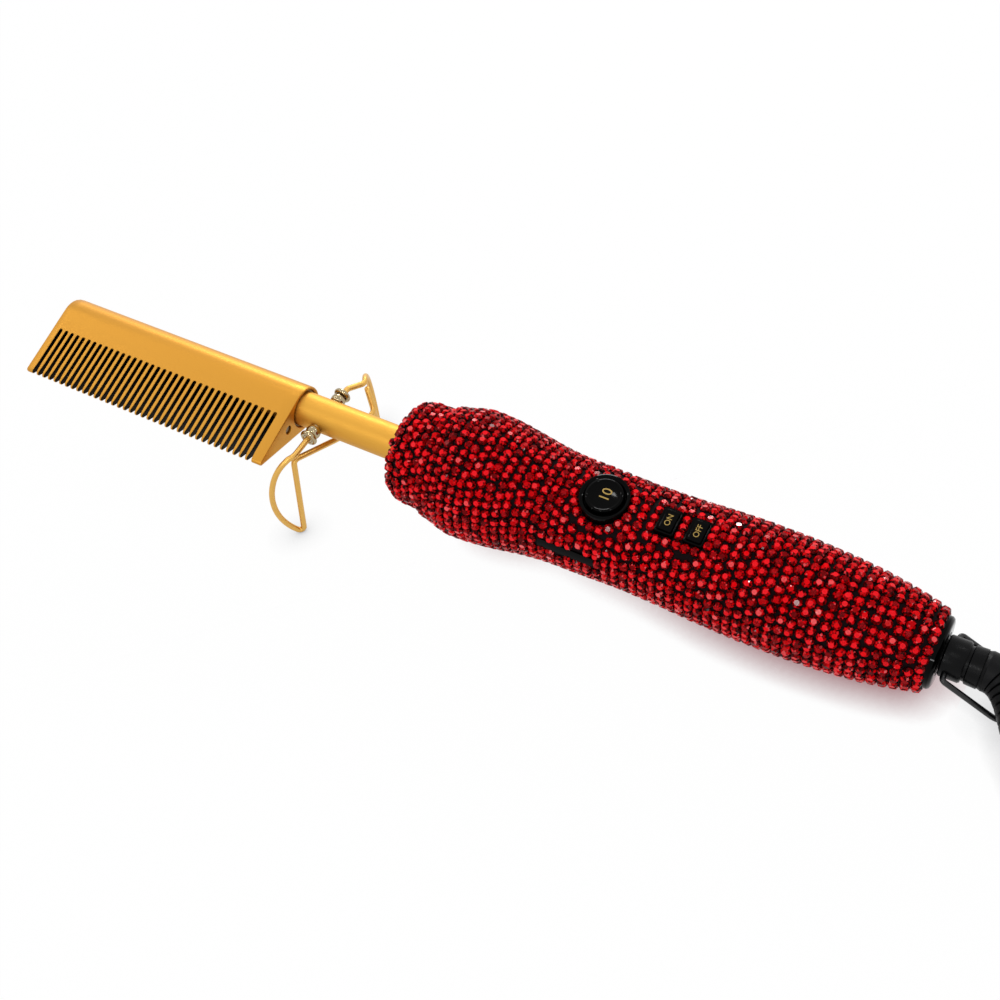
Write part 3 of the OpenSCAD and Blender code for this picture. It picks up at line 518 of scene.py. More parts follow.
bpy.data.objects.remove(head)
bpy.data.objects.remove(cutter)
# The faces of the slot walls, which get painted shade
sawn = bored.attributes.new("sawn", "FLOAT", "FACE")
sawn.data.foreach_set("value", [
    float(abs(f.center.z) < 0.1 and abs(f.normal.x) > 0.3 and 1.5 < f.center.x < HEAD_L - 1.5)
    for f in bored.polygons])
bored.transform(TOOL)

# Satin anodised aluminium in gold: an even pale gold with very fine blasted grain.
# The sawn walls of the slots get painted shade, near black, so the gaps look black.
ANODISED_GOLD = "#C99038"
satin_gold, tree, shader = new_material("gold_anodised_aluminium", ANODISED_GOLD, 0.4, 1.0)
grain(tree, shader, 0.35, 0.012, (0.38, 0.48))
# Painted shade: the slot walls' colour is mixed to near black
in_slot = add_node(tree, "ShaderNodeAttribute", {"attribute_name": "sawn"})
painted_slot_shade = add_node(tree, "ShaderNodeMix",
                  {"data_type": "RGBA", 6: to_linear(ANODISED_GOLD), 7: to_linear("#120902")},
                  {0: in_slot.outputs["Fac"]})
tree.links.new(painted_slot_shade.outputs[2], shader.inputs["Base Color"])
finish_mesh("comb_head_piece", bored, satin_gold, "tool", ["comb_head"], 30)

# The set screw: turned steel, nickel-plated and bright, with its edge broken
screw_profile = [(84, 0), (84, 1.2), (HEAD_L - 0.9, 1.2), (HEAD_L - 0.6, 1.0), (HEAD_L - 0.6, 0)]
screw_points, screw_faces = turned_points(screw_profile, 32, (0, SCREW_Y, 0))
plated_steel, tree, shader = new_material("nickel_plated_steel", "#6E6250", 0.18, 1.0)
grain(tree, shader, 0.4, 0.004, (0.12, 0.26))
finish_mesh("head_set_screw", mesh_from("screw", screw_points, screw_faces, TOOL), plated_steel, "tool",
            ["head_screw"], 30)

# ---------------------------------------------------------------- barrel
# Drawn aluminium tube in the same gold, brushed along its length. It carries the
# comb head and is clamped in the handle by a flange.
BARREL_R = 5.4
barrel_profile = [(71.4, 4.65), (71.4, BARREL_R - 0.3), (71.7, BARREL_R), (147.5, BARREL_R),
                  (147.5, 7.05), (148.7, 7.05), (148.7, 4.65)]
points, faces = turned_points(barrel_profile, 96)
drawn_gold, tree, shader = new_material("gold_drawn_tube", "#D6A042", 0.42, 1.0)
grain(tree, shader, 0.3, 0.01, (0.46, 0.56), (0.04, 1, 1))
finish_mesh("barrel_piece", mesh_from("barrel", points, faces, TOOL), drawn_gold, "tool", ["barrel_tube"], 30)

# ---------------------------------------------------------------- stand
# One length of gold wire. Its ends turn in two chromed bosses on the barrel, each
# closed by a chromed ring, and it is bent into two splayed legs and a cross-bar.
WIRE_R = 0.9


def bend(a, b, c, d, steps=8):
    p, q = b + d * (a - b).normalized(), b + d * (c - b).normalized()
    return [p * (1 - t) ** 2 + 2 * b * t * (1 - t) + q * t * t for t in (k / steps for k in range(steps + 1))]


def foot_turn(foot, way, angle):
    a = math.radians(angle)
    return foot + 1.15 * (Vector((0, 0, 1 + math.sin(a))) + math.cos(a) * way)


def leg_path(elbow, bow_1, bow_2, foot, way, top, after):
    """From the elbow down the bow, round the foot and up the straight side."""
    path = [bezier(elbow, bow_1, bow_2, foot_turn(foot, way, 215), t / 40) for t in range(5, 40)]
    path += [foot_turn(foot, way, a) for a in range(215, 361, 12)]
    return path + bend(foot_turn(foot, way, 360), top, after, 1.8)


BOW, FOOT_Z, STUB_END = 7.5, 29.7, 11.0
crossbar = Vector((4, 0, -7.8))
foot, elbow, leg_top = Vector((-0.5, -23, -FOOT_Z)), Vector((0, -17.7, 0)), Vector((-0.8, -17.2, -2.4))
bow_start = elbow + BOW * Vector((-0.65, -0.8, -0.1))
bow_end = foot + Vector((-BOW, -BOW, FOOT_Z * 0.42))
far_foot, far_elbow = Vector((-0.5, 23, -FOOT_Z)), Vector((3.1, 17.4, -1.1))
far_leg_top = Vector((2.8, 17.9, -3.6))
far_bow_start = far_elbow + BOW * Vector((-0.62, 0.83, -0.03))
far_bow_end = far_foot + Vector((-0.73 * BOW, 0.95 * BOW, FOOT_Z * 0.41))
far_knee = Vector((7.3, 14.0, -9.3))
stub, far_stub, far_turn = Vector((0, -STUB_END, 0)), Vector((0, STUB_END, 0)), Vector((0, STUB_END + 1.2, 0))
near_path = [Vector((0, -6.2, 0)), stub] + bend(stub, elbow, bow_start, 1.6)
near_path += leg_path(elbow, bow_start, bow_end, foot, Vector((0.7, 0.7, 0)), leg_top, crossbar)
near_path += bend(leg_top, crossbar, far_knee, 2.4)
far_path = [Vector((0, 6.2, 0)), far_stub] + bend(far_stub, far_turn, far_elbow, 0.8)
far_path += bend(far_turn, far_elbow, far_bow_start, 1.6)
far_path += leg_path(far_elbow, far_bow_start, far_bow_end, far_foot, Vector((0.6, -0.8, 0)),
                     far_leg_top, far_knee)
far_path += bend(far_leg_top, far_knee, crossbar, 2.4)
stand_line = near_path + far_path[::-1]
points, faces = swept([p + Vector((HINGE_X, 0, 0)) for p in stand_line], WIRE_R, 16)
gold_wire, tree, shader = new_material("gold_plated_wire", "#DDAE5C", 0.34, 1.0)
grain(tree, shader, 0.5, 0.01, (0.32, 0.45))
finish_mesh("stand_wire_piece", mesh_from("stand", points, faces, TOOL), gold_wire, "stand",
            ["stand_wire"], 50)

BALL_Y, BALL_R, RING_Y = 6.9, 2.3, 9.3
ball_profile = [(4.7, 0.86), (4.7, 1.65), (5.65, 1.65), (5.72, 1.95)]
ball_profile += [(BALL_Y + BALL_R * math.sin(a), BALL_R * math.cos(a))
                 for a in (math.radians(d) for d in range(-30, 66, 6))]
ball_profile += [(9.0, 0.86)]
chrome, tree, shader = new_material("chromed_steel", "#A89878", 0.12, 1.0)
grain(tree, shader, 0.6, 0.006, (0.05, 0.14))


def on_both_sides(profile):
    """A profile turned about the hinge's axis, once on each side of the barrel."""
    return joined([turned_points([(s * a, r) for a, r in profile], 48, (HINGE_X, 0, 0), "Y")
                   for s in (1, -1)])


points, faces = on_both_sides(ball_profile)
finish_mesh("pivot_boss_pair", mesh_from("bosses", points, faces, TOOL), chrome, "tool", ["pivot_bosses"], 40)
ring_profile = [(RING_Y + 0.05, 0.87), (RING_Y + 0.05, 1.4)]
ring_profile += [(RING_Y + 0.75 * math.sin(a), 2.0 + 0.75 * math.cos(a))
                 for a in (math.radians(d) for d in range(200, 505, 20))]
ring_profile += [(RING_Y + 0.6, 1.35), (RING_Y + 0.6, 0.87)]
points, faces = on_both_sides(ring_profile)
finish_mesh("pivot_ring_pair", mesh_from("rings", points, faces, TOOL), chrome, "stand", ["pivot_rings"], 40)

# ---------------------------------------------------------------- handle shells and collar
# Two injection-moulded halves and a front collar, in dark red ABS. Only slits of
# them show between the crystals, and there they are dull and nearly black with glue.
dark_shell, tree, shader = new_material("dark_red_abs", "#0C0002", 0.7, Specular_IOR_Level=0.08)
grain(tree, shader, 0.7, 0.05, (0.6, 0.8))


def paint(material, *names):
    """A CAD node keeps its own shape and gets its finish."""
    for name in names:
        data = frame["nodes"][name].data
        data.materials.clear()
        data.materials.append(material)
        data.polygons.foreach_set("material_index", [0] * len(data.polygons))


paint(dark_shell, "handle_upper", "handle_lower", "nozzle_collar")

SHELL_X0, SHELL_L = 140.2, 148.0
COLLAR_X0, COLLAR_R, COLLAR_ROUND = 128.5, 14.6, 4.5


def shell_radius(x):
    """Radius of the bare shell at a place along the tool."""
    d = x - SHELL_X0
    if d < 11:
        return ease(16.1, 18.2, d / 11)
    if d < 44:
        return ease(18.2, 14.8, (d - 11) / 33)
    if d < 64:
        return ease(14.8, 14.4, (d - 44) / 20)
    if d < 99:
        return ease(14.4, 15.5, (d - 64) / 35)
    return 15.5 * (1 - ((d - 99) / 62) ** 2.2) ** (1 / 2.2)


# ---------------------------------------------------------------- crystals
# Flat-backed rhinestones 2.8 mm across, cut glass with a mirror foil, glued on by
# hand. They stand in straight lines on the sides and crowd together on top, and
# close round the dial, the buttons and the side slots.
STONE_R = 1.43
STONE_H = 1.25
PITCH_S = 2.77
STONE_SEED = 11
DIAL_X, ON_X, OFF_X = 194.4, 213.5, 222.0
VENT_X, VENT_HALF_L, VENT_ANGLE = 188.2, 8.65, 74


def hash_value(*keys):
    """A repeatable number from 0 to 1, the same in every run."""
    n = STONE_SEED
    for key in keys:
        n = (n ^ key) * 0x9E3779B1 & 0xFFFFFFFF
        n = (n ^ n >> 15) * 0x85EBCA6B & 0xFFFFFFFF
    return (n ^ n >> 13) / 0x100000000


DIAL_EDGE, BUTTON_HALF_L, BUTTON_HALF_W, VENT_HALF_W = 7.2, 2.8, 4.0, 1.4
EDGE_GAP = 1.22
BUTTONS_FROM, BUTTONS_TO = ON_X - BUTTON_HALF_L - EDGE_GAP, OFF_X + BUTTON_HALF_L + EDGE_GAP


def closing_stones():
    """(x, angle) of the stones that are set first, along the edges of the controls."""
    places = []

    def put(x, side_way):
        places.append((x, math.degrees(math.asin(side_way / shell_radius(x)))))

    ring = DIAL_EDGE + EDGE_GAP
    for k in range(19):
        a = math.tau * k / 19
        put(DIAL_X + ring * math.cos(a), ring * math.sin(a))
    long_side, short_side = OFF_X - ON_X + 2 * (BUTTON_HALF_L + EDGE_GAP), 2 * (BUTTON_HALF_W + EDGE_GAP)
    for k in range(7):
        for s in (1, -1):
            put(BUTTONS_FROM + long_side * k / 6, s * short_side / 2)
    for x in (BUTTONS_FROM, (ON_X + OFF_X) / 2, BUTTONS_TO):
        for k in (-1, 0, 1):
            put(x, k * short_side / 4)
    return places


def aside_of_slots(x, angle):
    """The angle of a stone in a row beside a side slot, or None on the slot itself."""
    for s in (1, -1):
        off = math.radians(angle - s * VENT_ANGLE) * shell_radius(x)
        if abs(x - VENT_X) < VENT_HALF_L + 1.0 and abs(off) < VENT_HALF_W + EDGE_GAP:
            if abs(off) < 1.35:
                return None
            return s * VENT_ANGLE + math.degrees(math.copysign(VENT_HALF_W + EDGE_GAP, off) / shell_radius(x))
    return angle


def clear_of_controls(x, angle, others, apart):
    """True where a stone covers neither the dial nor the buttons, and stands far enough from others."""
    r = shell_radius(x)
    side_way = r * math.sin(math.radians(angle))
    if abs(angle) < 90:
        if math.hypot(x - DIAL_X, side_way) < DIAL_EDGE + EDGE_GAP:
            return False
        if BUTTONS_FROM < x < BUTTONS_TO and abs(side_way) < BUTTON_HALF_W + EDGE_GAP:
            return False
    return all(math.hypot(x - cx, math.radians(angle - ca) * r) > apart for cx, ca in others)


SHELL_RINGS = 53
FIRST_GAP, LAST_GAP = 0.8 * PITCH_S, 0.85 * PITCH_S


def stone_places():
    """For each crystal node, its glue points as (place, way out of the surface)."""
    # each ring of stones is (its number, x, radius, slope, on what)
    rings = []
    for i in range(SHELL_RINGS):
        x = SHELL_X0 + (i + 0.5) * SHELL_L / SHELL_RINGS
        rings.append((i, x, shell_radius(x), 0.0, "shell"))
    rings += [(99, COLLAR_X0, COLLAR_R - COLLAR_ROUND - 3.6, math.pi / 2, "collar"),
              (100, COLLAR_X0, COLLAR_R - COLLAR_ROUND - 0.85, math.pi / 2, "collar")]
    arc = COLLAR_ROUND * math.pi / 2
    for k in (1, 2):
        a = math.pi / 2 * (1 - (k * PITCH_S - 0.85) / arc)
        x, r = COLLAR_X0 + COLLAR_ROUND * (1 - math.sin(a)), COLLAR_R - COLLAR_ROUND * (1 - math.cos(a))
        rings.append((100 + k, x, r, a, "collar"))
    for k in range(3):
        rings.append((110 + k, COLLAR_X0 + COLLAR_ROUND + 0.4 + k * 2.6, COLLAR_R, 0.0, "collar"))
    stones = {"upper_crystals": [], "lower_crystals": [], "collar_crystals": []}
    closing = closing_stones()
    around = list(closing)

    def glue(node, px, r, a, tilt):
        normal = Vector((-math.sin(tilt), math.sin(a) * math.cos(tilt), math.cos(a) * math.cos(tilt)))
        stones[node].append((Vector((px, r * math.sin(a), r * math.cos(a))), normal))

    def glue_on_shell(px, angle):
        a = math.radians(angle)
        tilt = math.atan(shell_radius(px + 0.5) - shell_radius(px - 0.5))
        r = shell_radius(min(max(px, SHELL_X0), SHELL_X0 + SHELL_L))
        glue("upper_crystals" if math.cos(a) >= 0 else "lower_crystals", px, r, a, tilt)

    for k, (x, angle) in enumerate(closing):
        jitter = 0.25 * (hash_value(200, k, 1) - 0.5)
        glue_on_shell(x + jitter, angle + 4 * jitter)
    for ring, x, radius, slope, kind in rings:
        count = max(6, round(math.tau * (radius + 0.35) / PITCH_S))
        step = 360 / count
        for j in range(count):
            # lines run straight along the sides; the spare room gathers on top and below
            angle = (j + 0.5) / count * 360 - 180
            if kind == "collar":
                angle += step * (0.5 * (ring % 2) + 0.35 * (hash_value(ring, j, 1) - 0.5))
                px = x + 0.3 * PITCH_S * (hash_value(ring, j, 2) - 0.5) * (slope < 1.5)
                glue("collar_crystals", px, radius, math.radians(angle), slope)
                continue
            top = max(0.0, math.cos(math.radians(angle)) - 0.25) / 0.75
            if top > 0:
                stagger = 0.5 * (ring % 2) * smooth_step(top * 1.6) * smooth_step((x - SHELL_X0 - 24) / 20)
                angle += step * stagger
            loose = 0.05 + 0.22 * top
            angle += step * loose * (hash_value(ring, j, 1) - 0.5)
            px = x + PITCH_S * loose * (hash_value(ring, j, 2) - 0.5)
            angle = aside_of_slots(px, angle)
            if angle is not None and clear_of_controls(px, angle, closing, FIRST_GAP):
                glue_on_shell(px, angle)
                if 174 < px < 236 and abs(angle) < 108:
                    around.append((px, angle))
    # the last gaps round the dial, the buttons and the slots are filled stone by stone
    for i in range(68):
        for j in range(79):
            px, angle = 178 + i * 0.8, -97.5 + j * 2.5
            if aside_of_slots(px, angle) == angle and clear_of_controls(px, angle, around, LAST_GAP):
                glue_on_shell(px, angle)
                around.append((px, angle))
    return stones


# One stone: an eight-sided table, a crown of kites and triangles, and a short girdle.
# Each ring of its corners is (how many, share of the radius, part of a step turned, height).
stone_points = []
for count, share, turned, z in ((8, 0.54, 0, STONE_H), (8, 0.80, 0.5, STONE_H * 0.66),
                                (16, 1, 0, STONE_H * 0.22), (16, 0.94, 0, -0.3)):
    for a in (math.tau * (k + turned) / count for k in range(count)):
        stone_points.append((STONE_R * share * math.cos(a), STONE_R * share * math.sin(a), z))
stone_faces = [tuple(range(8))]
# Painted light of each facet: the table painted brightest, the crown less, the girdle painted dark as shade
facet_painted_light = [0.9]
for k in range(8):
    stone_faces.append((k, 8 + k, (k + 1) % 8))
    facet_painted_light.append(0.55)
    stone_faces.append((k, 8 + (k - 1) % 8, 16 + 2 * k, 8 + k))
    facet_painted_light.append(0.58)
    stone_faces.append((8 + k, 16 + 2 * k, 16 + 2 * k + 1))
    stone_faces.append((8 + k, 16 + 2 * k + 1, 16 + (2 * k + 2) % 16))
    facet_painted_light += [0.36, 0.4]
for k in range(16):
    stone_faces.append((16 + k, 32 + k, 32 + (k + 1) % 16, 16 + (k + 1) % 16))
    facet_painted_light.append(0.0)
stone_mesh = bpy.data.meshes.new("rhinestone")
stone_mesh.from_pydata([Vector(p) * MM for p in stone_points], [], stone_faces)
kind_layer = stone_mesh.attributes.new("facet_painted_light", "FLOAT", "FACE")
kind_layer.data.foreach_set("value", facet_painted_light)
number_layer = stone_mesh.attributes.new("facet_number", "FLOAT", "FACE")
number_layer.data.foreach_set("value", [float(i) for i in range(len(stone_faces))])
stone = bpy.data.objects.new("rhinestone", stone_mesh)
bpy.context.scene.collection.objects.link(stone)

# Foil-backed ruby glass with painted light: each facet is painted from near black to bright red,
# by its place on the stone and at random, as painted reflection and painted shade, and a hard white flash on
# one facet in some twenty
ruby, tree, shader = new_material("foil_backed_ruby_glass", "#E6000A", 0.08, 0.0, Specular_IOR_Level=0.06)
kind_in = add_node(tree, "ShaderNodeAttribute", {"attribute_name": "facet_painted_light"})
number_in = add_node(tree, "ShaderNodeAttribute", {"attribute_name": "facet_number"})
stone_in = add_node(tree, "ShaderNodeAttribute", {"attribute_name": "stone_shade"})
mixed = add_node(tree, "ShaderNodeCombineXYZ", None,
                 {0: number_in.outputs["Fac"], 1: stone_in.outputs["Fac"]})
scatter = add_node(tree, "ShaderNodeTexWhiteNoise", {"noise_dimensions": "2D"}, {"Vector": mixed.outputs[0]})
spread = add_node(tree, "ShaderNodeMath", {"operation": "MULTIPLY_ADD", 1: 0.9, 2: -0.45},
                  {0: scatter.outputs["Value"]})
level = add_node(tree, "ShaderNodeMath", {"operation": "ADD", "use_clamp": True},
                 {0: kind_in.outputs["Fac"], 1: spread.outputs[0]})
# The ramp paints light and shade into the base colour, from near black through dark red to bright red
ramp = add_node(tree, "ShaderNodeValToRGB", None, {"Fac": level.outputs[0]})
stops = ramp.color_ramp.elements
stops[0].position, stops[0].color = 0.12, to_linear("#0C0001")
stops[1].position, stops[1].color = 1.0, to_linear("#FF1C26")
for position, colour in ((0.35, "#2E0002"), (0.6, "#800005"), (0.82, "#F00009")):
    stop = stops.new(position)
    stop.color = to_linear(colour)
tree.links.new(ramp.outputs["Color"], shader.inputs["Base Color"])
flash = add_node(tree, "ShaderNodeMapRange",
                 {"From Min": 0.92, "From Max": 0.95, "To Min": 0.05, "To Max": 1.0},
                 {"Value": scatter.outputs["Value"]})
tree.links.new(flash.outputs[0], shader.inputs["Specular IOR Level"])

# The setter: a tree that puts one stone on each glue point, turned to the surface
setter = bpy.data.node_groups.new("set_stones", "GeometryNodeTree")
for name, kind in (("Glue points", "NodeSocketGeometry"), ("Stone", "NodeSocketObject"),
                   ("Size spread", "NodeSocketFloat"), ("Lean", "NodeSocketFloat"),
                   ("Seed", "NodeSocketInt"), ("Finish", "NodeSocketMaterial")):
    setter.interface.new_socket(name, in_out="INPUT", socket_type=kind)
setter.interface.new_socket("Stones", in_out="OUTPUT", socket_type="NodeSocketGeometry")
given = add_node(setter, "NodeGroupInput")
made = add_node(setter, "NodeGroupOutput")
facing = add_node(setter, "GeometryNodeInputNamedAttribute", {"data_type": "FLOAT_VECTOR", "Name": "facing"})
turned_by = add_node(setter, "FunctionNodeAlignEulerToVector", {"axis": "Z"}, {"Vector": facing.outputs[0]})
spin = add_node(setter, "FunctionNodeRandomValue", {"data_type": "FLOAT", 2: 0.0, 3: math.tau},
                {"Seed": given.outputs["Seed"]})
lean_low = add_node(setter, "ShaderNodeMath", {"operation": "MULTIPLY", 1: -1.0}, {0: given.outputs["Lean"]})
lean_seed = add_node(setter, "FunctionNodeIntegerMath", {"operation": "ADD", 1: 1},
                     {0: given.outputs["Seed"]})
lean_a = add_node(setter, "FunctionNodeRandomValue", {"data_type": "FLOAT"},
                  {2: lean_low.outputs[0], 3: given.outputs["Lean"], "Seed": lean_seed.outputs[0]})
lean_way = add_node(setter, "ShaderNodeCombineXYZ", None, {"X": lean_a.outputs[1], "Z": spin.outputs[1]})
turn_local = add_node(setter, "FunctionNodeRotateEuler", {"rotation_type": "EULER", "space": "LOCAL"},
                      {"Rotation": turned_by.outputs[0], "Rotate By": lean_way.outputs[0]})
one_stone = add_node(setter, "GeometryNodeObjectInfo", {"transform_space": "ORIGINAL"},
                     {"Object": given.outputs["Stone"]})
small = add_node(setter, "ShaderNodeMath", {"operation": "SUBTRACT", 0: 1.0},
                 {1: given.outputs["Size spread"]})
size_seed = add_node(setter, "FunctionNodeIntegerMath", {"operation": "ADD", 1: 2},
                     {0: given.outputs["Seed"]})
size_pick = add_node(setter, "FunctionNodeRandomValue", {"data_type": "FLOAT", 3: 1.0},
                     {2: small.outputs[0], "Seed": size_seed.outputs[0]})
on_points = add_node(setter, "GeometryNodeInstanceOnPoints", None,
                     {"Points": given.outputs["Glue points"], "Instance": one_stone.outputs["Geometry"],
                      "Rotation": turn_local.outputs[0], "Scale": size_pick.outputs[1]})
shade_seed = add_node(setter, "FunctionNodeIntegerMath", {"operation": "ADD", 1: 3},
                      {0: given.outputs["Seed"]})
shade_pick = add_node(setter, "FunctionNodeRandomValue", {"data_type": "FLOAT"},
                      {"Seed": shade_seed.outputs[0]})
shaded = add_node(setter, "GeometryNodeStoreNamedAttribute",
                  {"data_type": "FLOAT", "domain": "INSTANCE", "Name": "stone_shade"},
                  {"Geometry": on_points.outputs[0], "Value": shade_pick.outputs[1]})
realized = add_node(setter, "GeometryNodeRealizeInstances", None, {0: shaded.outputs[0]})
finished = add_node(setter, "GeometryNodeSetMaterial", None,
                    {"Geometry": realized.outputs[0], "Material": given.outputs["Finish"]})
setter.links.new(finished.outputs[0], made.inputs["Stones"])
socket_of = {item.name: item.identifier for item in setter.interface.items_tree if item.in_out == "INPUT"}


def set_stones(node, glue, seed):
    """Sets stones on glue points and gives the plain mesh that replaces a CAD node."""
    points = bpy.data.meshes.new(node + "_glue")
    spin_free = HANDLE.to_3x3().normalized()
    points.from_pydata([HANDLE @ p for p, n in glue], [], [])
    way = points.attributes.new("facing", "FLOAT_VECTOR", "POINT")
    way.data.foreach_set("vector", [c for p, n in glue for c in spin_free @ n])
    holder = bpy.data.objects.new(node + "_holder", points)
    bpy.context.scene.collection.objects.link(holder)
    gluing = holder.modifiers.new("stones", "NODES")
    gluing.node_group = setter
    for name, value in (("Stone", stone), ("Size spread", 0.05), ("Lean", 0.10), ("Seed", seed),
                        ("Finish", ruby)):
        gluing[socket_of[name]] = value
    bpy.context.view_layer.update()
    evaluated = holder.evaluated_get(bpy.context.evaluated_depsgraph_get())
    mesh = bpy.data.meshes.new_from_object(evaluated)
    bpy.data.objects.remove(holder)
    return finish_mesh(node + "_stones", mesh, ruby, "tool", [node], 0)


for seed, (node, glue) in enumerate(stone_places().items()):
    made_stones = set_stones(node, glue, 10 * seed + 5)
    print(node, len(glue), "stones", len(made_stones.data.polygons), "faces")
bpy.data.objects.remove(stone)

# ---------------------------------------------------------------- dial
# A gloss black ABS bezel with a domed dial that turns in it. The dial carries its
# setting in gold print.
PANEL_Z = 15.7
black_gloss, tree, shader = new_material("gloss_black_abs", "#020202", 0.06, Specular_IOR_Level=0.05)
grain(tree, shader, 2.5, 0.006)
bezel_profile = [(11.2, 7.15), (PANEL_Z - 0.1, 7.2), (PANEL_Z + 0.3, 7.05), (PANEL_Z + 0.42, 6.75),
                 (PANEL_Z + 0.3, 6.3), (PANEL_Z + 0.05, 5.85), (PANEL_Z - 0.5, 5.72), (12.7, 5.72),
                 (12.7, 2.3), (11.2, 2.3)]
points, faces = turned_points(bezel_profile, 96, (DIAL_X, 0, 0), "Z")
finish_mesh("dial_bezel_piece", mesh_from("bezel", points, faces, HANDLE), black_gloss, "tool",
            ["dial_bezel"], 35)
knob_profile = [(4, 0), (4, 2), (13.1, 2), (13.1, 5.4), (PANEL_Z + 0.5, 5.4), (PANEL_Z + 0.85, 5.28),
                (PANEL_Z + 1.05, 5.0), (PANEL_Z + 1.1, 4.7), (PANEL_Z + 0.98, 4.45), (PANEL_Z + 0.9, 4.1),
                (PANEL_Z + 0.9, 0)]
points, faces = turned_points(knob_profile, 96, (DIAL_X, 0, 0), "Z")
finish_mesh("dial_knob_piece", mesh_from("knob", points, faces, HANDLE), black_gloss, "dial",
            ["dial_knob"], 35)

gold_print, tree, shader = new_material("gold_print", "#A88A42", 0.45, 0.3)
grain(tree, shader, 0.3, 0.002)


def printed(words, size, at, body, name):
    """Raised print on a face of the panel, read from the teeth's side to the spine's."""
    letters = bpy.data.curves.new(name, "FONT")
    letters.body = words
    letters.size = size
    letters.extrude = 0.03
    letters.resolution_u = 6
    letters.align_x = "CENTER"
    letters.align_y = "CENTER"
    holder = bpy.data.objects.new(name + "_letters", letters)
    bpy.context.scene.collection.objects.link(holder)
    bpy.context.view_layer.update()
    mesh = bpy.data.meshes.new_from_object(holder.evaluated_get(bpy.context.evaluated_depsgraph_get()))
    bpy.data.objects.remove(holder)
    low = min(v.co.x for v in mesh.vertices), min(v.co.y for v in mesh.vertices)
    high = max(v.co.x for v in mesh.vertices), max(v.co.y for v in mesh.vertices)
    centre = Matrix.Translation((-(low[0] + high[0]) / 2, -(low[1] + high[1]) / 2, 0))
    lay = Matrix(((0, -1, 0, 0), (1, 0, 0, 0), (0, 0, 1, 0), (0, 0, 0, 1)))
    mesh.transform(HANDLE @ Matrix.Translation(at) @ lay @ centre)
    finish_mesh(name, mesh, gold_print, body, (), 30)


printed("10", 4.2, (DIAL_X + 0.3, 0.6, PANEL_Z + 0.92), "dial", "dial_number")

# ---------------------------------------------------------------- buttons
# Two gloss black moulded keys in black frames, each with its word printed on it.
KEY_L, KEY_W = 4.1, 6.5
for label, x, frame_node, key_node in (("ON", ON_X, "on_frame", "on_button"),
                                       ("OFF", OFF_X, "off_frame", "off_button")):
    rings = []
    for z, grow in ((11.2, 0.0), (PANEL_Z - 0.25, 0.0), (PANEL_Z - 0.05, -0.12), (PANEL_Z, -0.35)):
        rings.append([(x + px, py, z) for px, py in rounded_rectangle(5.6 + grow, 8 + grow, 0.6, 4)])
    for z, grow in ((PANEL_Z, 0.45), (PANEL_Z - 0.1, 0.12), (PANEL_Z - 0.3, 0.1), (11.2, 0.1)):
        rings.append([(x + px, py, z) for px, py in rounded_rectangle(KEY_L + grow, KEY_W + grow, 0.45, 4)])
    points, faces = lofted(rings, closed=True)
    finish_mesh(frame_node + "_piece", mesh_from(frame_node, points, faces, HANDLE), black_gloss, "tool",
                [frame_node], 35)
    rings = []
    for z, grow in ((11.2, 0.0), (PANEL_Z + 0.2, 0.0), (PANEL_Z + 0.38, -0.12), (PANEL_Z + 0.47, -0.5),
                    (PANEL_Z + 0.5, -1.1)):
        rings.append([(x + px, py, z) for px, py in rounded_rectangle(KEY_L + grow, KEY_W + grow, 0.4, 4)])
    stem = turned_points([(6.4, 0), (6.4, 1.6), (11.3, 1.6), (11.3, 0)], 24, (x, 0, 0), "Z")
    points, faces = joined([lofted(rings), stem])
    finish_mesh(key_node + "_piece", mesh_from(key_node, points, faces, HANDLE), black_gloss, key_node,
                [key_node], 35)
    printed(label, 2.3, (x, 0.0, PANEL_Z + 0.51), key_node, key_node + "_print")

# ---------------------------------------------------------------- side slots
# Gloss black strips let into the shell on both sides, level with the stones' foot.
paint(black_gloss, "side_vents")

# ---------------------------------------------------------------- swivel, sleeve and hang loop
# A moulded nylon neck turns in the butt of the handle, so that the cord doesn't
# twist. A bent wire loop is clipped in it for hanging the tool up.
black_nylon_hard, tree, shader = new_material("black_moulded_nylon", "#040405", 0.35, Specular_IOR_Level=0.1)
grain(tree, shader, 0.5, 0.02, (0.22, 0.4))
neck_profile = [(272.9, 0), (272.9, 3.3), (278.8, 3.3), (278.8, 4.1), (290.3, 4.1), (290.3, 5.3),
                (290.7, 5.7), (295.6, 5.7), (296.1, 5.35), (296.15, 4.8), (296.9, 4.8), (296.9, 0)]
points, faces = turned_points(neck_profile, 64)
finish_mesh("swivel_neck_piece", mesh_from("neck", points, faces, TOOL), black_nylon_hard, "cord_swivel",
            ["swivel_neck"], 35)
sleeve_profile = [(296.9, 0), (296.9, 4.9), (297.2, 5.3), (300.4, 5.45), (300.4, 0)]
points, faces = turned_points(sleeve_profile, 64)
finish_mesh("swivel_sleeve_piece", mesh_from("sleeve", points, faces, TOOL), black_nylon_hard, "cord_swivel",
            ["swivel_sleeve"], 35)
# A gloss black ring closes the butt round the neck
END_R = shell_radius(288.2)
end_profile = [(288.2, 6.1), (288.2, END_R - 0.2), (289.2, END_R - 0.25), (289.75, END_R - 0.7),
               (290, END_R - 1.4), (290, 6.1)]
points, faces = turned_points(end_profile, 96)
finish_mesh("end_ring_piece", mesh_from("end_ring", points, faces, TOOL), black_gloss, "tool",
            ["end_ring"], 35)

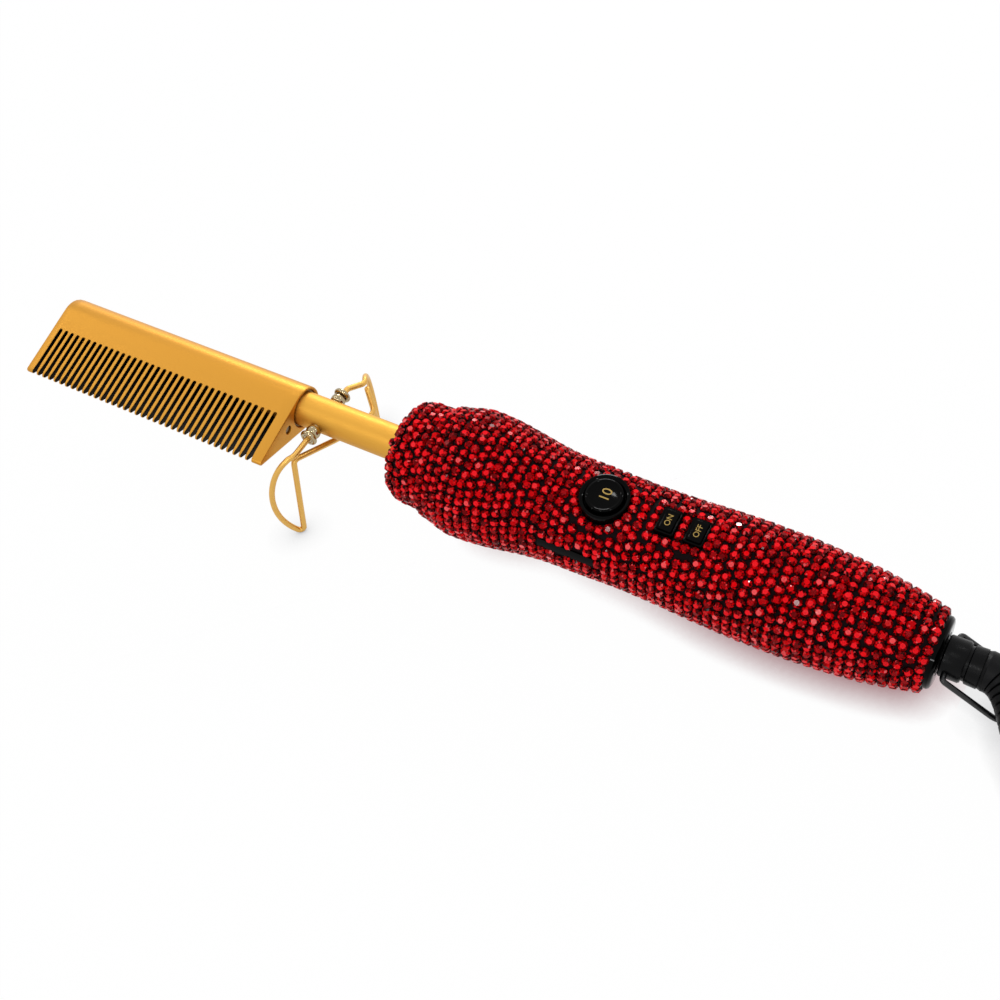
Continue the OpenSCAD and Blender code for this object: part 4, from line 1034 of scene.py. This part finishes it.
LOOP_X, LOOP_L, LOOP_HALF, LOOP_R = 292.2, 23.0, 7.6, 0.8
loop_drop = math.radians(27.6988)
loop_side = [Vector((0, -4.2, 0)), Vector((0, -5.6, 0))]
loop_side += bend(Vector((0, 0, 0)), Vector((0, -LOOP_HALF, 0)), Vector((5, -LOOP_HALF, 0)), 1.2)
loop_side += [Vector((LOOP_L - LOOP_HALF * (1 - math.sin(a)), -LOOP_HALF * math.cos(a), 0))
              for a in (math.radians(d) for d in range(0, 86, 5))]
loop_line = loop_side + [Vector((LOOP_L, 0, 0))] + [Vector((p.x, -p.y, p.z)) for p in reversed(loop_side)]
points, faces = swept(loop_line, LOOP_R, 16)
loop_place = TOOL @ Matrix.Translation((LOOP_X, 0, 0)) @ Matrix.Rotation(loop_drop, 4, "Y")
dark_wire, tree, shader = new_material("black_lacquered_wire", "#0A0A0C", 0.3, 0.0)
grain(tree, shader, 0.6, 0.01, (0.25, 0.4))
finish_mesh("hang_loop_piece", mesh_from("loop", points, faces, loop_place), dark_wire, "hang_loop",
            ["hang_loop"], 50)

# ---------------------------------------------------------------- works inside the handle and the head
# The heater, its board and the swivel's contacts are shut in, and keep their CAD
# shapes with the finish of the real component.
inner = {
    "heater_core": ("pressed_ceramic", "#E2DDD2", 0.7, 0.0, 0.5, 0.03),
    "thermal_fuse": ("fuse_ceramic", "#E8E6DF", 0.5, 0.0, 0.4, 0.02),
    "heat_spreader": ("cast_aluminium", "#A9ABAE", 0.45, 1.0, 0.6, 0.03),
    "mica_sleeve": ("mica_paper", "#A08C62", 0.6, 0.0, 0.8, 0.03),
    "thermistor": ("epoxy_bead", "#3A1E12", 0.35, 0.0, 0.5, 0.02),
    "heater_leads": ("silicone_lead", "#E6E6E2", 0.55, 0.0, 0.4, 0.01),
    "sensor_leads": ("yellow_lead", "#DDB022", 0.5, 0.0, 0.4, 0.01),
    "barrel_bush": ("phenolic_bush", "#4B2B17", 0.55, 0.0, 0.7, 0.03),
    "shell_screws": ("zinc_steel", "#B9BBC0", 0.3, 1.0, 0.4, 0.01),
    "board_screws": ("zinc_steel_small", "#B9BBC0", 0.3, 1.0, 0.4, 0.01),
    "dial_pot": ("pot_housing", "#16161A", 0.5, 0.0, 0.5, 0.02),
    "on_plunger": ("switch_plunger_on", "#202022", 0.45, 0.0, 0.5, 0.01),
    "off_plunger": ("switch_plunger_off", "#202022", 0.45, 0.0, 0.5, 0.01),
    "tact_switches": ("switch_shell", "#B8BABD", 0.3, 1.0, 0.4, 0.01),
    "main_board": ("green_circuit_board", "#0F5A2C", 0.35, 0.0, 1.2, 0.02),
    "triac": ("triac_epoxy", "#141416", 0.5, 0.0, 0.4, 0.02),
    "heat_sink": ("sheet_aluminium", "#BBBDC1", 0.35, 1.0, 0.5, 0.02),
    "capacitor": ("film_capacitor", "#7A4A22", 0.35, 0.0, 0.6, 0.02),
    "control_chip": ("chip_epoxy", "#151517", 0.55, 0.0, 0.3, 0.02),
    "mains_leads": ("mains_lead_pvc", "#E4E4E0", 0.45, 0.0, 0.5, 0.01),
    "contact_brushes": ("brush_bronze", "#C99A4B", 0.25, 1.0, 0.4, 0.01),
    "slip_rings": ("slip_ring_brass", "#D3AA55", 0.2, 1.0, 0.5, 0.01),
    "swivel_clip": ("spring_steel", "#A8AAAF", 0.25, 1.0, 0.4, 0.01),
    "swivel_socket": ("socket_nylon", "#0D0D0E", 0.4, 0.0, 0.5, 0.02),
}
for node, (name, colour, roughness, metallic, size, height) in inner.items():
    material, tree, shader = new_material(name, colour, roughness, metallic)
    grain(tree, shader, size, height, (roughness * 0.8, min(1.0, roughness * 1.25)))
    paint(material, node)

# ---------------------------------------------------------------- floor, lamps and world
# A white table with a painted grey shadow near the tool and a painted red reflection by the
# handle, a low soft box behind, a small hard key, six small lamps that spark in the stones,
# and an even white room.
floor_mesh = bpy.data.meshes.new("floor")
floor_mesh.from_pydata([(-6, -6, 0), (6, -6, 0), (6, 6, 0), (-6, 6, 0)], [], [(0, 1, 2, 3)])
floor = bpy.data.objects.new("floor", floor_mesh)
bpy.context.scene.collection.objects.link(floor)
pale, tree, shader = new_material("pale_table", "#F4F4F4", 0.5)


def seen_or_mirrored(tree):
    """1 on rays that the camera or a mirrored surface sees, and 0 on those that only carry light."""
    sight = add_node(tree, "ShaderNodeLightPath")
    return add_node(tree, "ShaderNodeMath", {"operation": "MAXIMUM"},
                    {0: sight.outputs["Is Camera Ray"], 1: sight.outputs["Is Glossy Ray"]})


seen = seen_or_mirrored(tree)
# Painted shadow: within 9 mm of the tool the floor's colour darkens to grey, and to red beside the handle as
# a painted reflection
near = add_node(tree, "ShaderNodeAmbientOcclusion", {"samples": 8, "Distance": 9 * MM})
place = add_node(tree, "ShaderNodeTexCoord")
parts = add_node(tree, "ShaderNodeSeparateXYZ", None, {0: place.outputs["Object"]})
painted_reflection_band = add_node(tree, "ShaderNodeMath", {"operation": "COMPARE", 1: 58 * MM, 2: 82 * MM},
                     {0: parts.outputs["X"]})
painted_shadow_colour = add_node(tree, "ShaderNodeMix", {"data_type": "RGBA", 6: to_linear("#8C8C90"), 7: to_linear("#842436")},
               {0: painted_reflection_band.outputs[0]})
painted_shadow_and_reflection = add_node(tree, "ShaderNodeMix", {"data_type": "RGBA", 7: (1, 1, 1, 1)},
                {0: near.outputs["AO"], 6: painted_shadow_colour.outputs[2]})
glow = add_node(tree, "ShaderNodeEmission", {"Strength": 1.0}, {"Color": painted_shadow_and_reflection.outputs[2]})
part = add_node(tree, "ShaderNodeMath", {"operation": "MULTIPLY", 1: 0.985}, {0: seen.outputs[0]})
mix = add_node(tree, "ShaderNodeMixShader", None,
               {0: part.outputs[0], 1: shader.outputs[0], 2: glow.outputs[0]})
tree.links.new(mix.outputs[0], tree.nodes["Material Output"].inputs["Surface"])
floor_mesh.materials.append(pale)

world = bpy.data.worlds.new("pale_room")
bpy.context.scene.world = world
world.use_nodes = True
tree = world.node_tree
back = tree.nodes["Background"]
back.inputs["Color"].default_value = (0.9, 0.92, 0.95, 1)
back.inputs["Strength"].default_value = 0.62
white = add_node(tree, "ShaderNodeBackground", {"Color": (1, 1, 1, 1), "Strength": 1.0})
seen = seen_or_mirrored(tree)
mix = add_node(tree, "ShaderNodeMixShader", None,
               {0: seen.outputs[0], 1: back.outputs[0], 2: white.outputs[0]})
tree.links.new(mix.outputs[0], tree.nodes["World Output"].inputs["Surface"])


LIT_POINT = Vector((0, 0, 0.02))


def soft_box(name, at, size, power):
    """A rectangular lamp, size in metres, turned to the tool."""
    data = bpy.data.lights.new(name, "AREA")
    data.shape = "RECTANGLE"
    data.size, data.size_y = size
    data.energy = power
    lamp = bpy.data.objects.new(name, data)
    bpy.context.scene.collection.objects.link(lamp)
    facing = (Vector(at) - LIT_POINT).to_track_quat("Z", "Y")
    lamp.matrix_world = Matrix.Translation(at) @ facing.to_matrix().to_4x4()


soft_box("key", (0.05, -0.75, 0.95), (0.07, 0.07), 1.3)
soft_box("back", (-0.4, 0.95, 0.5), (0.5, 0.14), 4.2)
for k, at in enumerate(((-0.85, 0.1, 0.9), (0.45, -0.3, 1.0), (-0.35, 0.35, 1.05), (0.5, 0.6, 0.8),
                        (0.2, -0.9, 0.5), (-0.5, -0.7, 0.8))):
    soft_box(f"spark_{k}", at, (0.06, 0.06), 0.5)

scene = bpy.context.scene
scene.view_settings.view_transform = "Standard"
